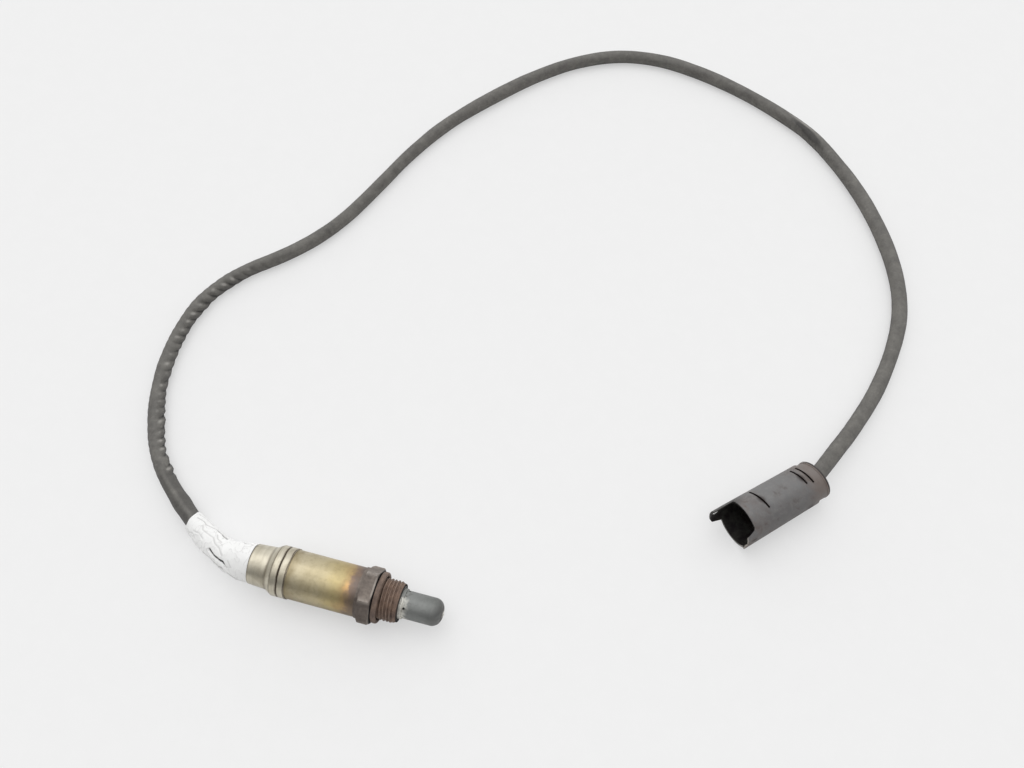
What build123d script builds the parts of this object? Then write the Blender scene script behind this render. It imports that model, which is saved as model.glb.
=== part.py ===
"""Heated oxygen sensor: a threaded probe, a taped lead exit, a sleeved cable and a round plug.

Frame: millimetres, +Z up. The probe lies along X with its tip towards +X, resting on one flat
of its hexagon. The origin is on the resting surface, under the middle of the probe. The cable
leaves the probe towards -X, runs in a loop on the surface and ends in the plug at +X, +Y.
"""
import math
import os

from build123d import *

os.makedirs("parts", exist_ok=True)

# ---------------------------------------------------------------- driving dimensions, probe
grommet_lip_length = 2.0      # rubber showing behind the rear cap
cap_length = 17.9             # silver rear cap, rim to front edge
shell_visible_length = 32.1   # golden shell between cap and hexagon
hex_thickness = 5.9
ring_thickness = 2.6
thread_length = 8.2           # sealing ring to thread end, with the undercut
tube_reach = 18.2             # protection tube beyond the thread
vent_boss_height = 0.3

hex_across_flats = 22.0
hex_chamfer_length = 0.8
hex_chamfer_depth = 1.1
hex_flange_length = 1.3       # round flange behind the hexagon, as wide as its flats
thread_radius = 9.0           # M18 x 1.5, crest
thread_chamfer = 0.9
undercut_radius = 8.1
undercut_length = 0.8

shell_inset = 0.35            # shell's radius below the hexagon's flats
shell_wall = 0.5
shell_tuck = 6.3              # shell length hidden under the cap
shell_swage = 0.35            # swaged down by this to receive the cap
cap_proud = 0.35              # crimped bands above the shell
cap_wall = 0.42
cap_rim_taper = 0.55          # rim below the neck
cap_step_height = 1.75        # neck below the crimped bands
cap_step_length = 3.0         # length over which the neck opens to the bands
cap_step_round = 1.5
cap_bands_length = 6.6        # both crimped bands together
cap_groove_place = 3.6        # crimp groove, from the front edge
cap_groove_depth = 0.35
cap_groove_width = 0.8

ring_width = 1.95             # radial width of the sealing ring
ring_round_share = 0.42       # outer edge round, as a share of the ring's smaller side
tube_radius = 5.95
tube_wall = 0.6
tube_dome_round = 4.3
tube_skirt = 3.0              # length held inside the thread end
tube_collar_radius = 6.5
tube_collar_length = 1.4
tube_hole_radius = 0.6
tube_hole_place = 2.3         # from the thread end
tube_hole_count = 4
tube_hole_turn = 56.0
vent_boss_radius = 1.1
vent_hole_radius = 0.5
inner_tube_radius = 4.2
inner_tube_wall = 0.4
inner_tube_flange = 0.8
inner_tube_end_gap = 3.2      # from the outer tube's inside end
inner_tube_round = 1.5
inner_tube_vent_radius = 0.9

collar_length = 8.1           # hex body's rear collar, inside the shell
main_bore_radius = 7.2
main_bore_depth = 11.2        # from the crimped lip's front to the shoulder
lip_bore_radius = 5.6
lip_thickness = 1.1
nose_bore_radius = 4.3

element_nose_radius = 3.1
element_collar_radius = 6.2
element_collar_length = 6.2
element_neck_radius = 4.6
element_rear_reach = 4.8      # element's rear end behind the packing
element_nose_reach = 24.6     # collar's front face to the closed end
element_bore_radius = 1.9
element_end_wall = 2.0
washer_thickness = 0.6
clamp_ring_thickness = 1.2

heater_radius = 1.5
heater_tip_gap = 0.8          # heater to the end of the element's bore
inner_contact_wall = 0.25
inner_contact_length = 10.0
contact_strap_width = 2.0
contact_sheet = 0.3
outer_contact_wall = 0.3
outer_contact_inset = 0.4     # end flange behind the element's rear end
outer_contact_gap = 0.6       # outer contact to the clamp ring

support_inset = 1.0           # support's radius below the disc spring's
support_front_gap = 2.4       # support's front face to the outer contact
support_rear_gap = 1.2        # disc spring and its travel
spring_thickness = 0.5
spring_clearance = 0.2        # disc spring inside the shell
spring_width = 3.0            # disc spring, radial
guide_length = 5.0
guide_in_shell = 2.5          # part of the guide's length in front of the shell's rear end
grommet_lip_inset = 1.3       # grommet's lip below the cap's rim

lead_count = 4
lead_radius = 1.0
lead_circle = 4.2             # lead centres from the probe's axis
lead_core_place = 4.0         # lead end inside the support, from its rear face
terminal_radius = 1.1
terminal_reach = 0.5          # terminal in front of the support
heater_tab_length = 3.0
heater_tab_width = 1.2

fit_gap = 0.05                # radial gap between nested pieces
wire_gap = 0.05               # radial gap round a lead or terminal

# ---------------------------------------------------------------- driving dimensions, tape wrap
wrap_wall = 0.35
wrap_cap_inset = 0.2          # tape's edge below the cap's rim
wrap_first_radius = 7.9
wrap_middle_radius = 6.0
wrap_second_radius = 5.6
wrap_end_radius = 4.9         # several turns where the tape grips the sleeve
wrap_cap_gap = 0.2
wrap_overlap = 4.5            # tape on the sleeve
wrap_first_reach = 8.4        # cap's rim to the leads' first bend
wrap_second_reach = 9.7       # second bend to the sleeve's end
lead_bend_radius = 12.0
lead_exit_reach = 1.6         # straight lead past the sleeve's plug end
lead_entry_reach = 1.4        # straight lead before the wire seal
lead_fan_radius = 1.3
bundle_circle = 1.75          # lead centres from the cable's axis

# ---------------------------------------------------------------- driving dimensions, cable
cable_radius = 3.75
fillet_share = 0.45
cable_route = [
    (-74.0, 10.5, 6.7), (-93.8, 24.5, 4.1), (-109.0, 41.5, 3.8), (-120.6, 65.0, 3.8),
    (-126.3, 92.5, 3.8), (-124.0, 120.5, 3.8), (-112.2, 142.8, 3.8), (-87.5, 165.0, 3.8),
    (-72.2, 187.0, 3.8), (-60.4, 215.5, 3.8), (-49.7, 246.0, 3.8), (-35.7, 272.4, 3.8),
    (-16.4, 298.0, 3.8), (2.2, 319.0, 3.8), (22.0, 336.0, 3.8), (45.4, 347.5, 3.8),
    (69.5, 350.5, 3.8), (97.0, 345.5, 3.8), (128.0, 334.0, 3.8), (156.3, 318.8, 3.8),
    (170.0, 307.0, 3.8), (187.5, 286.3, 3.8), (202.6, 262.7, 3.8), (213.9, 237.0, 3.8),
    (219.6, 210.4, 3.8), (217.5, 183.4, 3.8), (210.7, 156.3, 3.8), (201.3, 133.4, 6.2),
    (193.4, 116.7, 9.1), (186.0, 101.0, 10.4),
]

# ---------------------------------------------------------------- driving dimensions, plug
plug_place = (171.4, 86.95)   # a point under the plug's axis
plug_heading = 225.3          # direction of the mouth, degrees from +X
plug_radius = 10.5            # at the mouth
plug_rear_radius = 9.85       # just in front of the rear neck
plug_neck_radius = 9.15       # behind the rear slits
plug_neck_length = 4.2
plug_rear_tilt = 6.0          # rear end leans after the cable, degrees
plug_bore_radius = 8.75
mouth_bore_radius = 9.4       # wider bore where the mating half enters
mouth_bore_rear = 13.0
plug_rear = -21.3             # stations along the plug's axis, towards the mouth
plug_stop = 4.0
plug_stop_length = 1.2
plug_stop_radius = 7.9
plug_rim = 22.5               # lower rim
notch_floor = 18.0            # upper rim
notch_left = 8.5              # half widths of the finger notch
notch_right = 8.4
notch_floor_right = 7.2
notch_slope_top = 21.8        # station where the notch's right side turns along the plug
notch_round = 0.8
left_lug_tip = 27.9
left_lug_feet = (-7.0, -5.2)   # lug's lower edge at the rim and at the tip, from the axis
left_lug_head = 6.4
left_lug_round = 1.0
right_lug_tip = 23.8           # short retaining hook
right_lug_feet = (-3.4, -3.4)
right_lug_head = 0.8
right_lug_round = 0.6
cut_margin = 1.0
window_length = 2.6
window_height = 2.6
window_place = (25.6, 0.6)    # station and height of the lug's window
slit_width = 0.9
slit_depth = 0.75             # in the housing's rear end
slit_lean = 9.0               # slits lean like the rear end, degrees
slit_stations = (-16.1, -13.2, 8.1)
slit_starts = (72.0, 78.0, 74.0)
slit_ends = (138.0, 138.0, 146.0)
catch_place = (-12.1, -1.2)   # station and height of the slot low on the right side
catch_length = 5.4
catch_width = 0.6
catch_depth = 0.7
catch_turn = 146.0            # degrees from the mouth's direction
retainer_thickness = 1.5
retainer_radius = 9.4
retainer_round = 0.6
retainer_opening = 5.2
retainer_spigot_wall = 1.6
seal_rear = -13.6
seal_length = 3.2
seal_groove_depth = 0.5
carrier_rear = -9.0
carrier_nose_radius = 7.8
pin_circle = 4.2
pin_radius = 0.8
barrel_radius = 1.3
barrel_front = 3.0
pin_tip = 11.0
pin_tip_round = 0.5
mouth_seal_length = 2.2
mouth_seal_inner_radius = 7.5

# ---------------------------------------------------------------- stations along the probe
axis_height = hex_across_flats / 2
flats_radius = hex_across_flats / 2
ring_outer_radius = thread_radius + fit_gap + ring_width
shell_radius = flats_radius - shell_inset
shell_tuck_radius = shell_radius - shell_swage
cap_band_radius = shell_radius + cap_proud
cap_neck_radius = cap_band_radius - cap_step_height
cap_rim_radius = cap_neck_radius - cap_rim_taper
spring_outer_radius = shell_tuck_radius - shell_wall - spring_clearance
spring_inner_radius = spring_outer_radius - spring_width
support_radius = spring_outer_radius - support_inset
overall_length = (grommet_lip_length + cap_length + shell_visible_length + hex_thickness
                  + ring_thickness + thread_length + tube_reach + vent_boss_height)
grommet_rear = -overall_length / 2
cap_rear = grommet_rear + grommet_lip_length
cap_front = cap_rear + cap_length
hex_rear = cap_front + shell_visible_length
hex_front = hex_rear + hex_thickness
ring_front = hex_front + ring_thickness
thread_end = ring_front + thread_length
tube_tip = thread_end + tube_reach
flange_rear = hex_rear - hex_flange_length

collar_rear = hex_rear - collar_length
lip_rear = collar_rear - lip_thickness
shoulder = collar_rear + main_bore_depth
element_front = shoulder - washer_thickness
element_shoulder = element_front - element_collar_length
element_rear = collar_rear - element_rear_reach
outer_contact_rear = element_rear - outer_contact_inset
outer_contact_length = collar_rear - outer_contact_gap - outer_contact_rear
element_tip = element_front + element_nose_reach
talc_length = element_shoulder - collar_rear - clamp_ring_thickness
shell_rear = cap_front - shell_tuck
support_rear = shell_rear + guide_in_shell + spring_thickness + support_rear_gap
support_front = outer_contact_rear - support_front_gap
support_length = support_front - support_rear
guide_front = support_rear - support_rear_gap - spring_thickness
guide_rear = guide_front - guide_length
lead_core_end = support_rear + lead_core_place
terminal_front = support_front + terminal_reach
heater_rear = support_front - heater_tab_length - lead_radius
heater_length = element_tip - element_end_wall - heater_tip_gap - heater_rear
corner_radius = hex_across_flats / math.sqrt(3)

probe_axis = Axis((0, 0, axis_height), (1, 0, 0))
probe_section = Plane(origin=(0, 0, axis_height), x_dir=(1, 0, 0), z_dir=(0, -1, 0))


def cross_plane(station):
    """Plane across the probe: local x is +Y, local y is +Z, facing the tip."""
    return Plane(origin=(station, 0, axis_height), x_dir=(0, 1, 0), z_dir=(1, 0, 0))


lead_angles = [90.0 * number for number in range(lead_count)]
lead_spots = [
    (lead_circle * math.cos(math.radians(angle)), lead_circle * math.sin(math.radians(angle)))
    for angle in lead_angles
]

# ================================================================ hex body
with BuildPart() as hex_body:
    with BuildSketch(cross_plane(hex_rear)):
        RegularPolygon(radius=hex_across_flats / 2, side_count=6, major_radius=False)
    extrude(amount=hex_thickness)
    # Turned chamfers on both faces of the hexagon.
    with BuildSketch(probe_section):
        with BuildLine():
            Polyline(
                (hex_rear, 0),
                (hex_rear, corner_radius - hex_chamfer_depth),
                (hex_rear + hex_chamfer_length, corner_radius),
                (hex_front - hex_chamfer_length, corner_radius),
                (hex_front, corner_radius - hex_chamfer_depth),
                (hex_front, 0),
                close=True,
            )
        make_face()
    revolve(axis=probe_axis, mode=Mode.INTERSECT)
    # Rear collar and flange for the shell, neck under the ring, thread with its undercut.
    with BuildSketch(probe_section):
        with BuildLine():
            Polyline(
                (lip_rear, 0),
                (lip_rear, shell_radius - shell_wall - fit_gap - lip_thickness / 2),
                (lip_rear + lip_thickness / 2, shell_radius - shell_wall - fit_gap),
                (flange_rear, shell_radius - shell_wall - fit_gap),
                (flange_rear, flats_radius),
                (hex_rear, flats_radius),
                (hex_front, undercut_radius),
                (ring_front + undercut_length, undercut_radius),
                (ring_front + undercut_length, thread_radius),
                (thread_end - thread_chamfer, thread_radius),
                (thread_end, thread_radius - thread_chamfer),
                (thread_end, 0),
                close=True,
            )
        make_face()
    revolve(axis=probe_axis)
    # Stepped bore: crimped lip, packing chamber, nose passage and tube seat.
    with BuildSketch(probe_section):
        with BuildLine():
            Polyline(
                (lip_rear, 0),
                (lip_rear, lip_bore_radius),
                (collar_rear, lip_bore_radius),
                (collar_rear, main_bore_radius),
                (shoulder, main_bore_radius),
                (shoulder, nose_bore_radius),
                (thread_end - tube_skirt, nose_bore_radius),
                (thread_end - tube_skirt, tube_radius + fit_gap),
                (thread_end, tube_radius + fit_gap),
                (thread_end, 0),
                close=True,
            )
        make_face()
    revolve(axis=probe_axis, mode=Mode.SUBTRACT)
hex_body.part.label = "hex_body"
export_step(hex_body.part, "parts/hex_body.step")

# ================================================================ sealing ring
# A folded crush ring on the neck behind the thread, free to turn.
ring_edge_round = ring_round_share * min(ring_thickness, ring_width)
with BuildPart() as sealing_ring:
    with BuildSketch(probe_section) as ring_outline:
        with Locations(((hex_front + ring_front) / 2, ring_outer_radius - ring_width / 2)):
            Rectangle(ring_thickness, ring_width)
        fillet(ring_outline.vertices().group_by(Axis.Z)[-1], ring_edge_round)
    revolve(axis=probe_axis)
sealing_ring.part.label = "sealing_ring"
export_step(sealing_ring.part, "parts/sealing_ring.step")

# ================================================================ outer protection tube
with BuildPart() as outer_protection_tube:
    with BuildSketch(probe_section):
        with BuildLine():
            Line((thread_end - tube_skirt, tube_radius - tube_wall),
                 (thread_end - tube_skirt, tube_radius))
            FilletPolyline(
                (thread_end - tube_skirt, tube_radius), (tube_tip, tube_radius), (tube_tip, 0),
                radius=tube_dome_round,
            )
            Line((tube_tip, 0), (tube_tip - tube_wall, 0))
            FilletPolyline(
                (tube_tip - tube_wall, 0),
                (tube_tip - tube_wall, tube_radius - tube_wall),
                (thread_end - tube_skirt, tube_radius - tube_wall),
                radius=tube_dome_round - tube_wall,
            )
        make_face()
    revolve(axis=probe_axis)
    # Collar crimped against the thread's end face.
    with BuildSketch(cross_plane(thread_end)):
        Circle(tube_collar_radius)
        Circle(tube_radius - tube_wall / 2, mode=Mode.SUBTRACT)
    extrude(amount=tube_collar_length)
    # Vent boss on the dome, and its hole.
    with BuildSketch(cross_plane(tube_tip)):
        Circle(vent_boss_radius)
    extrude(amount=vent_boss_height)
    with BuildSketch(cross_plane(tube_tip - tube_wall)):
        Circle(vent_hole_radius)
    extrude(amount=tube_wall + vent_boss_height, mode=Mode.SUBTRACT)
    # Ring of gas holes beside the collar.
    for number in range(tube_hole_count):
        turn = math.radians(tube_hole_turn + number * 360 / tube_hole_count)
        outward = (0, -math.cos(turn), math.sin(turn))
        with BuildSketch(Plane(origin=(thread_end + tube_hole_place, 0, axis_height),
                               x_dir=(1, 0, 0), z_dir=outward)):
            Circle(tube_hole_radius)
        extrude(amount=tube_collar_radius, mode=Mode.SUBTRACT)
outer_protection_tube.part.label = "outer_protection_tube"
export_step(outer_protection_tube.part, "parts/outer_protection_tube.step")

# ================================================================ inner protection tube
inner_tube_rear = thread_end - tube_skirt
inner_tube_tip = tube_tip - tube_wall - inner_tube_end_gap
with BuildPart() as inner_protection_tube:
    with BuildSketch(probe_section):
        with BuildLine():
            Polyline(
                (inner_tube_rear, inner_tube_radius - inner_tube_wall),
                (inner_tube_rear, tube_radius - tube_wall - fit_gap),
                (inner_tube_rear + inner_tube_flange, tube_radius - tube_wall - fit_gap),
                (inner_tube_rear + inner_tube_flange, inner_tube_radius),
            )
            FilletPolyline(
                (inner_tube_rear + inner_tube_flange, inner_tube_radius),
                (inner_tube_tip, inner_tube_radius),
                (inner_tube_tip, inner_tube_vent_radius),
                radius=inner_tube_round,
            )
            Line((inner_tube_tip, inner_tube_vent_radius),
                 (inner_tube_tip - inner_tube_wall, inner_tube_vent_radius))
            FilletPolyline(
                (inner_tube_tip - inner_tube_wall, inner_tube_vent_radius),
                (inner_tube_tip - inner_tube_wall, inner_tube_radius - inner_tube_wall),
                (inner_tube_rear, inner_tube_radius - inner_tube_wall),
                radius=inner_tube_round - inner_tube_wall,
            )
        make_face()
    revolve(axis=probe_axis)
inner_protection_tube.part.label = "inner_protection_tube"
export_step(inner_protection_tube.part, "parts/inner_protection_tube.step")

# ================================================================ zirconia element
# A closed-end thimble with a seating collar and an open rear neck.
with BuildPart() as zirconia_element:
    with BuildSketch(probe_section):
        with BuildLine():
            Polyline(
                (element_rear, 0),
                (element_rear, element_neck_radius),
                (element_shoulder, element_neck_radius),
                (element_shoulder, element_collar_radius),
                (element_front, element_collar_radius),
                (element_front, element_nose_radius),
                (element_tip - element_nose_radius, element_nose_radius),
            )
            RadiusArc((element_tip - element_nose_radius, element_nose_radius),
                      (element_tip, 0), element_nose_radius)
            Line((element_tip, 0), (element_rear, 0))
        make_face()
    revolve(axis=probe_axis)
    with BuildSketch(cross_plane(element_rear)):
        Circle(element_bore_radius)
    extrude(amount=element_tip - element_end_wall - element_rear, mode=Mode.SUBTRACT)
zirconia_element.part.label = "zirconia_element"
export_step(zirconia_element.part, "parts/zirconia_element.step")

# ================================================================ packing in front of and behind the collar
chamber_radius = main_bore_radius - fit_gap
packing_bore = element_neck_radius + fit_gap
seat_washer_bore = nose_bore_radius
with BuildPart() as seat_washer:
    with BuildSketch(cross_plane(element_front)):
        Circle(chamber_radius)
        Circle(seat_washer_bore, mode=Mode.SUBTRACT)
    extrude(amount=washer_thickness)
seat_washer.part.label = "seat_washer"
export_step(seat_washer.part, "parts/seat_washer.step")

with BuildPart() as talc_packing:
    with BuildSketch(cross_plane(element_shoulder - talc_length)):
        Circle(chamber_radius)
        Circle(packing_bore, mode=Mode.SUBTRACT)
    extrude(amount=talc_length)
talc_packing.part.label = "talc_packing"
export_step(talc_packing.part, "parts/talc_packing.step")

with BuildPart() as clamp_ring:
    with BuildSketch(cross_plane(element_shoulder - talc_length - clamp_ring_thickness)):
        Circle(chamber_radius)
        Circle(packing_bore, mode=Mode.SUBTRACT)
    extrude(amount=clamp_ring_thickness)
clamp_ring.part.label = "clamp_ring"
export_step(clamp_ring.part, "parts/clamp_ring.step")

# ================================================================ heater rod
with BuildPart() as heater_rod:
    with BuildSketch(cross_plane(heater_rear)):
        Circle(heater_radius)
    extrude(amount=heater_length)
    fillet(heater_rod.edges().group_by(Axis.X)[-1], heater_radius / 3)
heater_rod.part.label = "heater_rod"
export_step(heater_rod.part, "parts/heater_rod.step")

# ================================================================ element contacts
# The inner contact is a sleeve round the heater with one strap to its terminal.
inner_contact_outer = heater_radius + fit_gap + inner_contact_wall
with BuildPart() as inner_contact:
    with BuildSketch(cross_plane(terminal_front)):
        Circle(inner_contact_outer)
    extrude(amount=inner_contact_length)
    with BuildSketch(cross_plane(terminal_front)):
        with Locations(((lead_circle + terminal_radius) / 2, 0)):
            Rectangle(lead_circle + terminal_radius, contact_strap_width)
    extrude(amount=contact_sheet)
    with BuildSketch(cross_plane(terminal_front)):
        Circle(heater_radius + fit_gap)
    extrude(amount=inner_contact_length, mode=Mode.SUBTRACT)
inner_contact.part.label = "inner_contact"
export_step(inner_contact.part, "parts/inner_contact.step")

# The outer contact caps the element's rear end.
outer_contact_inner = element_neck_radius + fit_gap
outer_contact_hole = lead_circle - terminal_radius + outer_contact_wall
with BuildPart() as outer_contact:
    with BuildSketch(cross_plane(outer_contact_rear)):
        Circle(outer_contact_inner + outer_contact_wall)
        Circle(outer_contact_hole, mode=Mode.SUBTRACT)
    extrude(amount=contact_sheet)
    with BuildSketch(cross_plane(outer_contact_rear)):
        Circle(outer_contact_inner + outer_contact_wall)
        Circle(outer_contact_inner, mode=Mode.SUBTRACT)
    extrude(amount=outer_contact_length)
outer_contact.part.label = "outer_contact"
export_step(outer_contact.part, "parts/outer_contact.step")

# ================================================================ ceramic support
with BuildPart() as ceramic_support:
    with BuildSketch(cross_plane(support_rear)):
        Circle(support_radius)
        with Locations(*lead_spots):
            Circle(terminal_radius + wire_gap, mode=Mode.SUBTRACT)
    extrude(amount=support_length)
    # Blind hole for the heater's end, open at the front.
    with BuildSketch(cross_plane(heater_rear - fit_gap)):
        Circle(heater_radius + fit_gap)
    extrude(amount=support_front - heater_rear + fit_gap, mode=Mode.SUBTRACT)
    # Slot for both heater tabs, across the front face.
    with BuildSketch(cross_plane(support_front - heater_tab_length)):
        Rectangle(heater_tab_width + 2 * wire_gap, 2 * lead_circle)
    extrude(amount=heater_tab_length, mode=Mode.SUBTRACT)
ceramic_support.part.label = "ceramic_support"
export_step(ceramic_support.part, "parts/ceramic_support.step")

# ================================================================ terminals
# Signal and ground meet the element's contacts, the other two carry a tab to the heater.
terminal_names = ["signal_terminal", "heater_terminal_a", "ground_terminal", "heater_terminal_b"]
terminal_ends = [terminal_front, support_front, outer_contact_rear, support_front]
for spot, terminal_name, terminal_end in zip(lead_spots, terminal_names, terminal_ends):
    with BuildPart() as terminal:
        with BuildSketch(cross_plane(lead_core_end)):
            with Locations(spot):
                Circle(terminal_radius)
        extrude(amount=terminal_end - lead_core_end)
        if terminal_name.startswith("heater"):
            tab_inner = heater_radius + fit_gap
            tab_outer = lead_circle
            direction = 1 if spot[1] > 0 else -1
            with BuildSketch(cross_plane(support_front - heater_tab_length)):
                with Locations((0, direction * (tab_inner + tab_outer) / 2)):
                    Rectangle(heater_tab_width, tab_outer - tab_inner)
            extrude(amount=heater_tab_length)
    terminal.part.label = terminal_name
    export_step(terminal.part, f"parts/{terminal_name}.step")

# ================================================================ outer shell
# Drawn sleeve, butted on the flange and swaged down where it is tucked under the cap.
swage_front = cap_front + shell_wall
with BuildPart() as outer_shell:
    with BuildSketch(probe_section):
        with BuildLine():
            Polyline(
                (shell_rear, shell_tuck_radius - shell_wall),
                (shell_rear, shell_tuck_radius),
                (cap_front, shell_tuck_radius),
                (cap_front, shell_radius),
                (flange_rear, shell_radius),
                (flange_rear, shell_radius - shell_wall),
                (swage_front, shell_radius - shell_wall),
                (swage_front, shell_tuck_radius - shell_wall),
                close=True,
            )
        make_face()
    revolve(axis=probe_axis)
outer_shell.part.label = "outer_shell"
export_step(outer_shell.part, "parts/outer_shell.step")

# ================================================================ disc spring, guide and grommet
with BuildPart() as disc_spring:
    with BuildSketch(cross_plane(guide_front)):
        Circle(spring_outer_radius)
        Circle(spring_inner_radius, mode=Mode.SUBTRACT)
    extrude(amount=spring_thickness)
    # Raised inner crown that carries the support.
    with BuildSketch(cross_plane(guide_front + spring_thickness)):
        Circle(support_radius - spring_thickness)
        Circle(spring_inner_radius, mode=Mode.SUBTRACT)
    extrude(amount=support_rear_gap)
disc_spring.part.label = "disc_spring"
export_step(disc_spring.part, "parts/disc_spring.step")

cap_bore_rear = cap_rim_radius - cap_wall
with BuildPart() as wire_guide:
    with BuildSketch(cross_plane(guide_rear)):
        Circle(cap_bore_rear - fit_gap)
        with Locations(*lead_spots):
            Circle(lead_radius + wire_gap, mode=Mode.SUBTRACT)
    extrude(amount=guide_length)
wire_guide.part.label = "wire_guide"
export_step(wire_guide.part, "parts/wire_guide.step")

with BuildPart() as rubber_grommet:
    with BuildSketch(cross_plane(cap_rear)):
        Circle(cap_bore_rear - fit_gap)
    extrude(amount=guide_rear - cap_rear)
    with BuildSketch(cross_plane(grommet_rear)):
        Circle(cap_rim_radius - grommet_lip_inset)
    extrude(amount=grommet_lip_length)
    fillet(rubber_grommet.edges().group_by(Axis.X)[0], grommet_lip_length / 3)
    with BuildSketch(cross_plane(grommet_rear)):
        with Locations(*lead_spots):
            Circle(lead_radius + wire_gap)
    extrude(amount=guide_rear - grommet_rear, mode=Mode.SUBTRACT)
rubber_grommet.part.label = "rubber_grommet"
export_step(rubber_grommet.part, "parts/rubber_grommet.step")

# ================================================================ rear cap
# Thin drawn sleeve: tapered neck, a step, two crimped bands and a groove between them.
band_start = cap_front - cap_bands_length
step_start = band_start - cap_step_length
groove_centre = cap_front - cap_groove_place
with BuildPart() as rear_cap:
    with BuildSketch(probe_section) as cap_outline:
        with BuildLine():
            FilletPolyline(
                (cap_rear, cap_rim_radius),
                (step_start, cap_neck_radius),
                (band_start, cap_band_radius),
                (groove_centre - cap_groove_width / 2, cap_band_radius),
                radius=cap_step_round,
            )
            Polyline(
                (groove_centre - cap_groove_width / 2, cap_band_radius),
                (groove_centre, cap_band_radius - cap_groove_depth),
                (groove_centre + cap_groove_width / 2, cap_band_radius),
                (cap_front, cap_band_radius),
                (cap_front, shell_tuck_radius + fit_gap),
                (shell_rear - fit_gap, shell_tuck_radius + fit_gap),
                (step_start, cap_neck_radius - cap_wall),
                (cap_rear, cap_bore_rear),
                (cap_rear, cap_rim_radius),
            )
        make_face()
    revolve(axis=probe_axis)
rear_cap.part.label = "rear_cap"
export_step(rear_cap.part, "parts/rear_cap.step")

# ================================================================ lead exit and cable route
cable_points = [Vector(*point) for point in cable_route]
cable_start = cable_points[0]
start_direction = (cable_points[1] - cable_points[0]).normalized()
cable_end = cable_points[-1]
end_direction = (cable_points[-1] - cable_points[-2]).normalized()
up = Vector(0, 0, 1)


def along_plane(point, forward, side):
    """Plane across a lead route: local x lies level, local y points up."""
    level = side - forward * side.dot(forward)
    return Plane(origin=point, x_dir=level.normalized(), z_dir=-forward)


def level_side(forward):
    """Level direction to the right of a heading seen from above."""
    return forward.cross(up).normalized()


first_bend = Vector(cap_rear - wrap_first_reach, 0, axis_height)
second_bend = cable_start - start_direction * wrap_second_reach
middle_direction = (second_bend - first_bend).normalized()
wrap_middle = (first_bend + second_bend) * 0.5
first_direction = (Vector(-1, 0, 0) + middle_direction).normalized()
second_direction = (middle_direction + start_direction).normalized()
wrap_end = cable_start + start_direction * wrap_overlap

# ================================================================ tape wrap
# Wound tape: a tapering skin from the cap's rim over the loose leads and onto the sleeve.
wrap_stations = [
    (Vector(cap_rear - wrap_cap_gap, 0, axis_height), Vector(-1, 0, 0),
     cap_rim_radius - wrap_cap_inset),
    (first_bend, first_direction, wrap_first_radius),
    (wrap_middle, middle_direction, wrap_middle_radius),
    (second_bend, second_direction, wrap_second_radius),
    (cable_start, start_direction, wrap_end_radius),
    (wrap_end, start_direction, wrap_end_radius),
]
wrap_bores = [outer_radius - wrap_wall for point, forward, outer_radius in wrap_stations[:-2]]
wrap_bores += [cable_radius + fit_gap] * 2
with BuildPart() as tape_wrap:
    for point, forward, outer_radius in wrap_stations:
        with BuildSketch(along_plane(point, forward, level_side(forward))):
            Circle(outer_radius)
    loft(ruled=True)
    for (point, forward, outer_radius), bore in zip(wrap_stations, wrap_bores):
        with BuildSketch(along_plane(point, forward, level_side(forward))):
            Circle(bore)
    loft(ruled=True, mode=Mode.SUBTRACT)
tape_wrap.part.label = "tape_wrap"
export_step(tape_wrap.part, "parts/tape_wrap.step")

# ================================================================ plug frame
plug_turn = math.radians(plug_heading)
plug_direction = Vector(math.cos(plug_turn), math.sin(plug_turn), 0)
plug_origin = Vector(plug_place[0], plug_place[1], plug_radius)
plug_side = up.cross(plug_direction)
plug_axis = Axis(plug_origin, plug_direction)
# Section through the plug: local x is the station, local y is up, +z is the left side.
plug_section = Plane(origin=plug_origin, x_dir=plug_direction, z_dir=plug_direction.cross(up))


def plug_plane(station):
    """Plane across the plug: local x is its right side, local y is up, facing the mouth."""
    return Plane(origin=plug_origin + plug_direction * station, x_dir=plug_side,
                 z_dir=plug_direction)


def leaning_plane(station, lean):
    """Plane across the plug that leans after the cable, facing the mouth."""
    turn = math.radians(lean)
    facing = plug_direction * math.cos(turn) + plug_side * math.sin(turn)
    return Plane(origin=plug_origin + plug_direction * station,
                 x_dir=up.cross(facing), z_dir=facing)


def plug_turned_section(angle):
    """Half section of the plug at an angle from its right side towards the top."""
    turn = math.radians(angle)
    outward = plug_side * math.cos(turn) + up * math.sin(turn)
    return Plane(origin=plug_origin, x_dir=plug_direction, z_dir=plug_direction.cross(outward))


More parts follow.
